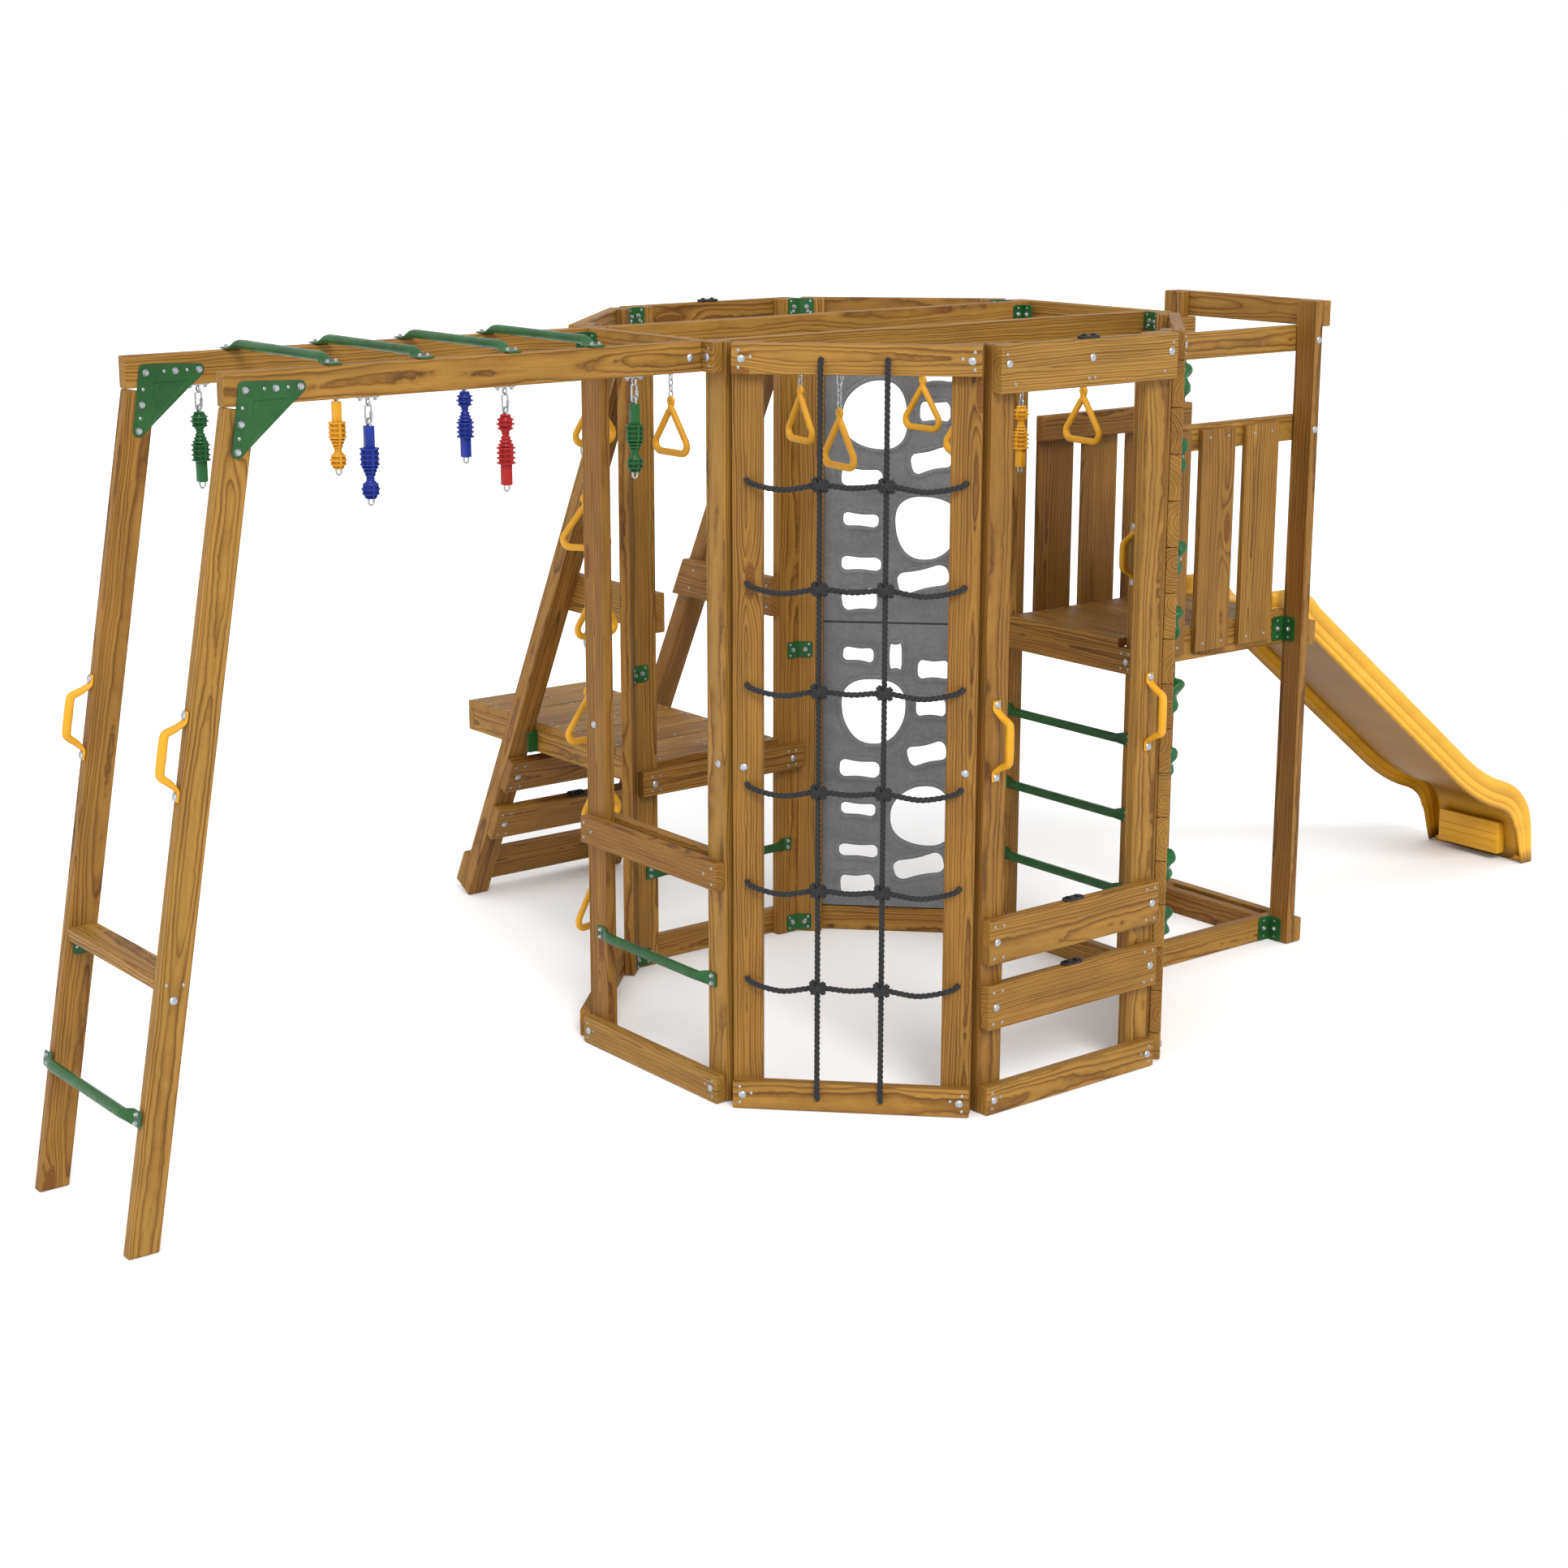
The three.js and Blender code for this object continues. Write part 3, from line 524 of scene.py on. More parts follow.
def facing(point, normal):
    """Moves a shape made round the origin, pointing up, to a point, pointing along a normal."""
    return Matrix.Translation(point) @ Vector(normal).to_track_quat("Z", "Y").to_matrix().to_4x4()


def oval(side, up, sides, power=1.0):
    """A closed outline: an ellipse at power 1, and squarer below."""
    outline = []
    for angle in angles(sides):
        c, s = math.cos(angle), math.sin(angle)
        across = math.copysign(side * abs(c) ** power, c)
        outline.append((across, math.copysign(up * abs(s) ** power, s)))
    return outline


def walk(path, up, closed):
    """Each point of a path, the two directions across it there, and the distance travelled so far."""
    travelled = 0.0
    for i, place in enumerate(path):
        ahead = path[(i + 1) % len(path)] if closed or i < len(path) - 1 else place
        behind = path[i - 1] if closed or i > 0 else place
        tangent = (ahead - behind).normalized()
        side = tangent.cross(up).normalized()
        if i:
            travelled += (place - path[i - 1]).length
        yield place, side, side.cross(tangent), travelled


def sweep(shape, path, section, up, closed=False, where=STILL, lay=False):
    """Faces along a path; section(i) is the outline there, as (across, along up) pairs, and is the same
    length at each point. up is never along the path."""
    path = [Vector(p) for p in path]
    count = len(path)
    points = []
    notes = []
    for i, (place, side, lift, travelled) in enumerate(walk(path, Vector(up), closed)):
        outline = section(i)
        points += [place + side * a + lift * b for a, b in outline]
        notes += [(travelled * MM, 6 * k / len(outline), 0) for k in range(len(outline))]
    sides = len(section(0))
    faces = []
    for i in range(count if closed else count - 1):
        a = i * sides
        b = ((i + 1) % count) * sides
        for k in range(sides):
            m = (k + 1) % sides
            faces.append([a + k, a + m, b + m, b + k])
    if not closed:
        faces.append(list(range(sides))[::-1])
        faces.append([(count - 1) * sides + k for k in range(sides)])
    shape.add(points, faces, where, lay=notes if lay else None)


def tube(shape, path, radius, up, closed=False, where=STILL, sides=10):
    outline = oval(radius, radius, sides)
    sweep(shape, path, lambda i: outline, up, closed, where)


def curve_through(knots, step):
    """Points about a step apart on the centripetal Catmull-Rom curve through the knots."""
    knots = [Vector(k) for k in knots]
    chain = [2 * knots[0] - knots[1], *knots, 2 * knots[-1] - knots[-2]]
    path = [knots[0]]
    for a, b, c, d in zip(chain, chain[1:], chain[2:], chain[3:]):
        t0 = 0.0
        t1 = t0 + math.sqrt((b - a).length)
        t2 = t1 + math.sqrt((c - b).length)
        t3 = t2 + math.sqrt((d - c).length)
        count = max(2, round((c - b).length / step))
        for i in range(1, count + 1):
            t = t1 + (t2 - t1) * i / count
            ab = a.lerp(b, (t - t0) / (t1 - t0))
            bc = b.lerp(c, (t - t1) / (t2 - t1))
            cd = c.lerp(d, (t - t2) / (t3 - t2))
            first = ab.lerp(bc, (t - t0) / (t2 - t0))
            second = bc.lerp(cd, (t - t1) / (t3 - t1))
            path.append(first.lerp(second, (t - t1) / (t2 - t1)))
    return path


# ---- cargo net: three-strand ropes, with a knot at each crossing ----
NET_X = RAIL_OUT + 16
NET_UPRIGHT_Y = [-100, 93]
NET_ROW_Z = [409 + 305 * row for row in range(6)]
NET_SAG = 20
NET_SAG_MIDDLE = 12
STRAND_R = 4.4
STRAND_OUT = 4.8
STRAND_PITCH = 50


def rope(shape, path, up, where=STILL, closed=False):
    """Three strands laid round one another; a closed rope's lay is stretched to meet itself."""
    turns = 1.0
    if closed:
        length = sum((path[i] - path[i - 1]).length for i in range(len(path)))
        turns = round(length / STRAND_PITCH) * STRAND_PITCH / length
    outline = oval(STRAND_R, STRAND_R, 8)
    for strand in range(3):
        line = []
        for place, side, lift, travelled in walk(path, Vector(up), closed):
            angle = 2 * math.pi * (travelled * turns / STRAND_PITCH + strand / 3)
            line.append(place + (side * math.cos(angle) + lift * math.sin(angle)) * STRAND_OUT)
        sweep(shape, line, lambda i: outline, up, closed, where, lay=True)


def net_rope(name, knots, up, replaces=()):
    path = curve_through(knots, 6)
    shape = Shape()
    rope(shape, path, up, PANEL[NET])
    piece = shape.build(name, "rope", replaces=replaces, smooth=60)


def make_net():
    foot = W4 / 2
    head = RAIL_LOW + W4 / 2
    for name, y in zip(("net_upright_left", "net_upright_right"), NET_UPRIGHT_Y):
        net_rope(name, [
            (RAIL_OUT + GAP, y, foot), (RAIL_OUT + 9, y, foot), (NET_X + 2, y, foot + 26),
            (NET_X + 4, y, 300), (NET_X + 4, y, HEIGHT - 300),
            (NET_X + 2, y, head - 26), (RAIL_OUT + 9, y, head),
            (RAIL_OUT + GAP, y, head),
        ], (0, 1, 0), ["cargo_net"])
    left, right = NET_UPRIGHT_Y
    end = HALF - 42
    for row, z in enumerate(NET_ROW_Z):
        net_rope(f"net_row_{row + 1}", [
            (POST_OUT + GAP, -end, z), (POST_OUT + 9, -end, z), (POST_OUT + 20, -end + 16, z - 8),
            (NET_X, (left - end) / 2, z - NET_SAG), (NET_X + 4, left, z - 4),
            (NET_X, (left + right) / 2, z - NET_SAG_MIDDLE), (NET_X + 4, right, z - 4),
            (NET_X, (right + end) / 2, z - NET_SAG), (POST_OUT + 20, end - 16, z - 8),
            (POST_OUT + 9, end, z), (POST_OUT + GAP, end, z),
        ], (0, 0, 1))


def make_net_knots():
    shape = Shape()
    for z in NET_ROW_Z:
        for y in NET_UPRIGHT_Y:
            for tilt, across, deep in ((-40, 22, 17), (36, 20, 18), (-4, 18, 21)):
                wrap = [Vector((deep * math.cos(a), across * math.sin(a), 4 * math.sin(2 * a))) for a in
                        angles(28)]
                place = PANEL[NET] @ shift(NET_X + 4, y, z - 4) @ turn(tilt, "X")
                rope(shape, wrap, (0, 0, 1), place, closed=True)
    shape.build("net_knots", "rope", smooth=60)


# ---- fasteners ----
class Hardware:
    """The bolts and screws of one part of the frame, as one piece."""

    def __init__(self):
        self.shape = Shape()

    def bolt(self, point, normal, where=STILL, washer=9, head=6.5):
        place = where @ facing(point, normal)
        disc = [(0, 0), (washer, 0), (washer, 1.4), (washer - 0.7, 2.0), (head, 2.0)]
        lathe(self.shape, disc, place, 20)
        lathe(self.shape, [(head, 1.9), (head, 6.4), (head - 1.3, 7.8), (0, 8.2)], place, 6)

    def dome(self, point, normal, where=STILL):
        """A carriage bolt's round head."""
        place = where @ facing(point, normal)
        lathe(self.shape, [(12, 0), (12, 1.6), (9.8, 3.9), (6, 5.6), (0, 6.3)], place, 20)

    def screw(self, point, normal, where=STILL):
        place = where @ facing(point, normal)
        profile = [(4.7, 0), (4.5, 1.0), (3.4, 1.7), (2.1, 1.8), (1.9, 0.4), (0, 0.3)]
        lathe(self.shape, profile, place, 10)

    def build(self, name):
        self.shape.build(name, "zinc_steel", smooth=28)


OUT = (1, 0, 0)
IN = (-1, 0, 0)


def rail_end_fasteners(hardware, k, z):
    """A bolt at each end of a rail, with a screw above, below and inboard, and its nut inside."""
    for side in SIDES:
        hardware.dome((RAIL_OUT, side * (HALF - 30), z), OUT, PANEL[k])
        hardware.bolt((APOTHEM, side * (HALF - 30), z), IN, PANEL[k], washer=10, head=6.5)
        for y, up in ((HALF - 22, 25), (HALF - 22, -25), (HALF - 57, 6)):
            hardware.screw((RAIL_OUT, side * y, z + up), OUT, PANEL[k])


def board_end_fasteners(hardware, low, where):
    """A bolt and four screws at each end of a board that is W6 wide."""
    middle = low + W6 / 2
    for side in SIDES:
        hardware.dome((RAIL_OUT, side * (HALF - 31), middle), OUT, where)
        for y in (HALF - 20, HALF - 56):
            for up in SIDES:
                hardware.screw((RAIL_OUT, side * y, middle + up * (W6 / 2 - 20)), OUT, where)


# ---- the octagon's timber ----
def panel_timber(k, node, top_width=W4, extras=()):
    shape = Shape()
    for side in SIDES:
        plank(shape, APOTHEM, POST_OUT, *both(HALF - W4, HALF + CORNER_FILL, side), 0, HEIGHT, PANEL[k])
    for low, high in ((0, W4), (HEIGHT - top_width, HEIGHT)):
        plank(shape, POST_OUT, RAIL_OUT, -HALF + GAP, HALF - GAP, low, high, PANEL[k])
    for extra in extras:
        plank(shape, *extra, PANEL[k])
    shape.build_timber(node)


def outer_board(low, width):
    return (POST_OUT, RAIL_OUT, -HALF + GAP, HALF - GAP, low, low + width)


def inner_board(low, half=HALF - 2):
    return (APOTHEM - THICK, APOTHEM, -half, half, low, low + W4)


def make_octagon():
    panel_timber(NET, "net_panel_frame")
    panel_timber(FRONT, "front_panel_frame", W6, [outer_board(low, W6) for low in FRONT_BOARD_LOW])
    panel_timber(WALL, "wall_panel_frame")
    panel_timber(DECK, "deck_panel_frame", extras=[inner_board(DECK_TOP - W4 - GAP, 334)])
    panel_timber(MOULDED, "moulded_panel_frame")
    panel_timber(PLATFORM, "platform_panel_frame", extras=[inner_board(PLATFORM_BOARD_LOW)])
    panel_timber(RING, "ring_panel_frame")
    panel_timber(ARM, "arm_panel_frame",
                 extras=[outer_board(ARM_BOARD_LOW, W4), inner_board(ARM_BOARD_LOW)])
    wall = Shape()
    pitch = (RAIL_LOW - W4 - 2 * GAP) / WALL_BOARDS
    for i in range(WALL_BOARDS):
        low = W4 + GAP + i * pitch
        plank(wall, POST_OUT + GAP, RAIL_OUT, -HALF + GAP, HALF - GAP, low + 0.6, low + pitch - 0.6,
              PANEL[WALL])
    wall.build_timber("board_wall")


def make_octagon_fasteners():
    hardware = Hardware()
    for k in range(8):
        rail_end_fasteners(hardware, k, W4 / 2)
        if k != FRONT:
            rail_end_fasteners(hardware, k, HEIGHT - W4 / 2)
    where = PANEL[FRONT]
    for y in (-332, 1, 332):
        hardware.dome((RAIL_OUT, y, HEIGHT - 55), OUT, where)
    for y, z in ((-12, 26), (12, 26), (-340, 112), (340, 112), (-306, 26), (306, 26)):
        hardware.screw((RAIL_OUT, y, HEIGHT - W6 + z), OUT, where)
    for low in FRONT_BOARD_LOW:
        board_end_fasteners(hardware, low, where)
    for side in SIDES:
        for y, up in ((20, 20), (20, 70), (60, 46)):
            hardware.screw((RAIL_OUT, side * (HALF - y), ARM_BOARD_LOW + up), OUT, PANEL[ARM])
    for k in (NET, ARM):
        for side in SIDES:
            hardware.dome((POST_OUT, side * (HALF - 32), POST_MIDDLE), OUT, PANEL[k])
    for k, low in ((PLATFORM, PLATFORM_BOARD_LOW), (DECK, DECK_TOP - W4), (ARM, ARM_BOARD_LOW)):
        for side in SIDES:
            hardware.dome((APOTHEM - THICK, side * 310, low + 42), IN, PANEL[k])
            for y in (288, 322):
                for z in (18, 70):
                    hardware.screw((APOTHEM - THICK, side * y, low + z), IN, PANEL[k])
    pitch = (RAIL_LOW - W4) / WALL_BOARDS
    for i in range(WALL_BOARDS):
        for side in SIDES:
            for z in (0.25, 0.75):
                hardware.screw((RAIL_OUT, side * (HALF - 44), W4 + (i + z) * pitch), OUT, PANEL[WALL])
    hardware.build("octagon_fasteners")


# ---- green steel ----
def rounded(x0, x1, y0, y1, radius, steps=4):
    """A rectangle's outline with rounded corners."""
    outline = []
    for centre, start in (((x1 - radius, y1 - radius), 0), ((x0 + radius, y1 - radius), 90),
                          ((x0 + radius, y0 + radius), 180), ((x1 - radius, y0 + radius), 270)):
        outline += arc(centre, radius, start, start + 90, steps)
    return outline


def plate(shape, outline, thick, where):
    """A flat plate with eased edges; the outline lies in its own XY plane."""
    ease = 0.8
    middle = sum((Vector(p) for p in outline), Vector((0, 0))) / len(outline)
    points = []
    for inset, z in ((0, 0), (0, thick - ease), (ease, thick)):
        for p in outline:
            inward = middle - Vector(p)
            moved = Vector(p) + inward.normalized() * inset
            points.append((moved.x, moved.y, z))
    count = len(outline)
    faces = [list(range(count))[::-1], list(range(2 * count, 3 * count))]
    for level in range(2):
        for i in range(count):
            j = (i + 1) % count
            a = level * count
            faces.append([a + i, a + j, a + count + j, a + count + i])
    shape.add(points, faces, where)


def make_corner_brackets():
    """Two leaves at each inside corner, at three heights, each with a bolt and two screws."""
    shape = Shape()
    hardware = Hardware()
    for k in range(8):
        for side in SIDES:
            for z in (37, POST_MIDDLE, 2303):
                leaf = PANEL[k] @ shift(APOTHEM, side * (HALF - 26), z) @ turn(-90, "Y")
                half_round = rounded(-30, 30, -26, 25, 9)[10:] + [(30, 25), (-30, 25)]
                outline = [(x, side * y) for x, y in half_round]
                plate(shape, outline if side > 0 else outline[::-1], BRACKET, leaf)
                hardware.bolt((0, 0, BRACKET), (0, 0, 1), leaf, washer=8.5, head=6.2)
                for up in (-20, 20):
                    hardware.screw((up, side * -13, BRACKET), (0, 0, 1), leaf)
    shape.build("corner_brackets", "green_steel")
    hardware.build("corner_bracket_fasteners")


def angle_bracket(shape, hardware, where, leaf, height):
    """Two leaves at a right angle, one in the XZ plane facing -Y and one in the YZ plane facing -X."""
    for place in (where @ shift(-leaf / 2, 0, 0) @ turn(90, "X"),
                  where @ shift(0, -leaf / 2, 0) @ turn(-90, "Y") @ turn(90)):
        plate(shape, rounded(-leaf / 2, leaf / 2, -height / 2, height / 2, 10), BRACKET, place)
        hardware.bolt((0, 0, BRACKET), (0, 0, 1), place)
        for up in (-0.33, 0.33):
            hardware.screw((0, up * height, BRACKET), (0, 0, 1), place)


def rung_mesh(shape, reach, where):
    """A bar with ends pressed flat: it lies along Y, its feet on x = 0 and its body at x = rise."""
    rise, width = RUNG_RISE, 15.5
    knots = [(3.3, 23, 3.2, 0), (3.3, 23, 3.2, 30), (3.8, 23, 3.4, 42), (rise * 0.55, 20, 7, 56),
             (rise * 0.9, width, 11.5, 70), (rise, width, 13, 84), (rise, width, 13, 130)]
    stations = [(x, -reach + y, a, b) for x, a, b, y in knots]
    stations += [(x, reach - y, a, b) for x, a, b, y in reversed(knots)]
    path = [(x, y, 0) for x, y, a, b in stations]
    outlines = [oval(b, a, 18, 0.75) for x, y, a, b in stations]
    sweep(shape, path, lambda i: outlines[i], (0, 0, 1), where=where)


def rung_piece(node, reach, where, hardware):
    shape = Shape()
    rung_mesh(shape, reach, where)
    shape.build(node + "_bar", "green_steel", replaces=[node], smooth=40)
    for side in SIDES:
        for z in (-12, 12):
            hardware.bolt((6.4, side * (reach - 18), z), (1, 0, 0), where, washer=7.5, head=5.4)


def make_rungs():
    hardware = Hardware()
    for i in range(4):
        low, high = span(f"arm_rung_{i + 1}")
        where = shift((low.x + high.x) / 2, 0, low.z) @ turn(-90, "Y")
        rung_piece(f"arm_rung_{i + 1}", BEAM_OUT - 2, where, hardware)
    low, high = span("leg_rung")
    lean = shift(LEG_FOOT + LEG_RUNG_Z * LEG_SLOPE - 8, 0, LEG_RUNG_Z)
    lean = lean @ Matrix.Rotation(math.atan(LEG_SLOPE), 4, "Y") @ turn(180)
    rung_piece("leg_rung", BEAM_OUT - 1, lean, hardware)
    rung_piece("arm_panel_rung", HALF - 44, PANEL[ARM] @ shift(POST_OUT + GAP, 0, 382), hardware)
    for i, z in enumerate(LADDER_RUNG_Z):
        where = PANEL[DECK] @ shift(APOTHEM - GAP, 0, z) @ turn(180)
        rung_piece(f"deck_ladder_rung_{i + 1}", HALF - 34, where, hardware)
    where = PANEL[PLATFORM] @ shift(APOTHEM - GAP, 0, 345) @ turn(180)
    rung_piece("platform_panel_rung", HALF - 34, where, hardware)
    hardware.build("rung_fasteners")


# ---- the arm ----
def beam_piece(node, x0, x1, side):
    shape = Shape()
    plank(shape, x0, x1, *both(BEAM_Y, BEAM_OUT, side), RAIL_LOW, HEIGHT)
    shape.build_timber(node)


def arm_leg(node, side):
    top = RAIL_LOW - GAP
    run = top * LEG_SLOPE
    width = W4 * math.sqrt(1 + LEG_SLOPE ** 2)
    drop = W4 * math.sin(math.atan(LEG_SLOPE))
    corners = [Vector((0, 0, 0)), Vector((width, 0, 0)),
               Vector((LEG_FOOT + width + run - drop * LEG_SLOPE - LEG_FOOT, 0, top - drop)),
               Vector((LEG_FOOT + run - LEG_FOOT, 0, top))]
    axis = Vector((LEG_SLOPE, 0, 1)).normalized()
    across = Vector((axis.z, 0, -axis.x))
    outline = [(c.dot(axis), c.dot(across)) for c in corners]
    low = both(BEAM_Y, BEAM_OUT, side)[0]
    where = Matrix([[axis.x, across.x, 0, LEG_FOOT], [0, 0, 1, low],
                    [axis.z, across.z, 0, 0], [0, 0, 0, 1]])
    shape = Shape()
    prism(shape, outline, THICK, where)
    shape.build_timber(node)


# The gussets' corners, as (x, z) with the angles between which each is rounded, and their fasteners.
GUSSET_CORNERS = [((-2420, 2292), 90, 188), ((-2446, 2127), 188, 322), ((-2258, 2285), -38, 90)]
GUSSET_BOLTS = [(-2417, 2285), (-2329, 2285), (-2257, 2285), (-2433, 2198), (-2446, 2127)]
GUSSET_SCREWS = [(-2362, 2286), (-2293, 2286), (-2427, 2240), (-2440, 2162)]
# Bolts and screws on the arm's outer faces, as (x, z): the step's, and the beam's at the octagon.
ARM_BOLTS = [(-2705, 694), (-993, 2287)]
STEP_SCREWS = [(-2723, 740), (-2674, 732)]


def make_gusset(shape, hardware, face):
    """A triangular corner plate with rounded corners and a pressed rib, facing -Y."""
    outline = []
    for centre, start, end in GUSSET_CORNERS:
        outline += arc(centre, 17, start, end, 8)
    where = shift(0, face, 0) @ turn(90, "X")
    plate(shape, outline, 3.4, where)
    for path in ([(-2378, 2244), (-2306, 2252)], [(-2392, 2232), (-2402, 2166)]):
        rib = [(x, z, 3.4) for x, z in path]
        sweep(shape, rib, lambda i: oval(4.5, 1.8, 10), (0, 0, 1), where=where)
    rib = [(-2406, 2150, 3.0), (-2290, 2258, 3.0), (-2394, 2256, 3.0)]
    tube(shape, rib, 1.4, (0, 0, 1), closed=True, where=where, sides=8)
    for x, z in GUSSET_BOLTS:
        hardware.bolt((x, face - 3.4, z), (0, -1, 0), washer=9.5, head=8.2)
    for x, z in GUSSET_SCREWS:
        hardware.screw((x, face - 3.4, z), (0, -1, 0))


def make_arm():
    start = -RAIL_OUT - GAP
    for node, side in (("near", -1), ("far", 1)):
        beam_piece(f"arm_beam_{node}", ARM_END, start, side)
        beam_piece(f"inner_beam_{node}", -APOTHEM + GAP, APOTHEM - GAP, side)
        arm_leg(f"arm_leg_{node}", side)
    step_low, step_high = span("arm_step")
    step = Shape()
    plank(step, step_low.x, step_high.x, step_low.y, step_high.y, step_low.z, step_high.z)
    step.build_timber("arm_step")
    steel = Shape()
    hardware = Hardware()
    make_gusset(steel, hardware, -BEAM_OUT)
    make_gusset(steel, hardware, BEAM_Y)
    middle = (step_low.x + step_high.x) / 2
    for side in SIDES:
        under = shift(middle, side * (BEAM_Y - 0.2), step_low.z) @ turn(90 * (side - 1))
        angle_bracket(steel, hardware, under @ turn(-90, "Y"), 44, 62)
        (step_x, step_z), (beam_x, beam_z) = ARM_BOLTS
        hardware.dome((step_x, side * BEAM_OUT, step_z), (0, side, 0))
        for x, z in STEP_SCREWS:
            hardware.screw((x, side * BEAM_OUT, z), (0, side, 0))
        hardware.dome((beam_x, side * BEAM_OUT, beam_z), (0, side, 0))
        middle_z = (RAIL_LOW + HEIGHT) / 2
        for x, facing_out in ((start, 0), (APOTHEM - GAP, 0), (-APOTHEM + GAP, 90)):
            around = facing_out if side > 0 else facing_out - 90 if facing_out == 0 else 180
            angle_bracket(steel, hardware, shift(x, side * BEAM_Y, middle_z) @ turn(around), 46, 66)
    steel.build("arm_brackets", "green_steel")
    hardware.build("arm_fasteners")


# ---- deck tower ----
def make_tower():
    end = Shape()
    for side in SIDES:
        plank(end, TOWER_IN, TOWER_POST_OUT, *both(HALF - W4, HALF, side), 0, HEIGHT)
        plank(end, RAIL_OUT + GAP, TOWER_POST_OUT, *both(MEMBER_Y, MEMBER_OUT, side),
              RAIL_LOW - W4, RAIL_LOW)
    for z in (0, DECK_TOP - W4, RAIL_LOW):
        plank(end, TOWER_POST_OUT, TOWER_OUT, -HALF, HALF, z, z + W4)
    end.build_timber("tower_end_frame", "tower_end")
    hardware = Hardware()
    for node, side in (("tower_railing_near", -1), ("tower_railing_far", 1)):
        shape = Shape()
        for low in (RAILING_LOW, DECK_TOP - W4 - GAP):
            plank(shape, RAIL_OUT + GAP, TOWER_POST_OUT - 1, *both(MEMBER_Y, MEMBER_OUT, side),
                  low, low + W4)
        for x in SLAT_X:
            faces = both(MEMBER_OUT, MEMBER_OUT + SLAT_THICK, side)
            plank(shape, x - SLAT_WIDTH / 2, x + SLAT_WIDTH / 2, *faces, SLAT_LOW, SLAT_HIGH, ease=3)
            for across in (-46, 46):
                for z in (SLAT_LOW + 28, SLAT_HIGH - 28):
                    hardware.screw((x + across, side * (MEMBER_OUT + SLAT_THICK), z), (0, side, 0))
        shape.build_timber(node)
    floor = Shape()
    start = APOTHEM - THICK
    pitch = (DECK_END - start) / 6
    for i in range(6):
        plank(floor, start + i * pitch + 1.5, start + (i + 1) * pitch - 1.5,
              -MEMBER_OUT + 1, MEMBER_OUT - 1, DECK_TOP, DECK_TOP + DECK_BOARD, ease=3)
        for y in (-254, 254):
            for x in (0.3, 0.7):
                hardware.screw((start + (i + x) * pitch, y, DECK_TOP + DECK_BOARD), (0, 0, 1))
    floor.build_timber("deck_floor")
    base = Shape()
    for side in SIDES:
        plank(base, RAIL_OUT + GAP, TOWER_POST_OUT - 1, *both(MEMBER_Y, MEMBER_OUT, side), 0, W4)
    plank(base, TOWER_IN - THICK, TOWER_IN, -MEMBER_Y, MEMBER_Y, 0, W4)
    base.build_timber("tower_base_frame", "tower_base")
    steel = Shape()
    for side in SIDES:
        for z in (45, DECK_TOP - 32):
            corner = shift(TOWER_IN, side * MEMBER_OUT, z)
            angle_bracket(steel, hardware, corner if side < 0 else corner @ turn(-90), 58, 88)
        for z in (45, DECK_TOP - 45, HEIGHT - 45):
            hardware.dome((TOWER_OUT, side * (HALF - 40), z), (1, 0, 0))
            for y, up in ((-14, 24), (-14, -24), (28, 4)):
                hardware.screw((TOWER_OUT, side * (HALF - 40 - y), z + up), (1, 0, 0))
        for z in (RAILING_LOW + 45, RAIL_LOW - 45):
            hardware.dome((TOWER_IN + 19, side * HALF, z), (0, side, 0))
    steel.build("tower_brackets", "green_steel")
    hardware.build("tower_fasteners")


# ---- leaning ladder and platform ----
LEAN = shift(0, LEAN_FOOT, 0) @ Matrix.Rotation(LEAN_ANGLE, 4, "X")
IN_YZ = Matrix([[0, 0, 1, 0], [1, 0, 0, 0], [0, 1, 0, 0], [0, 0, 0, 1]])


def side_board(shape, corners, low, thick, slope=0.0):
    """A board in a YZ plane from x = low, its corners given as (y, z), its grain rising by slope."""
    along = Vector((math.cos(slope), math.sin(slope)))
    across = Vector((-along.y, along.x))
    outline = [(Vector(c).dot(along), Vector(c).dot(across)) for c in corners]
    tilt = Matrix([[along.x, across.x, 0, 0], [along.y, across.y, 0, 0], [0, 0, 1, 0], [0, 0, 0, 1]])
    prism(shape, outline, thick, shift(low, 0, 0) @ IN_YZ @ tilt)


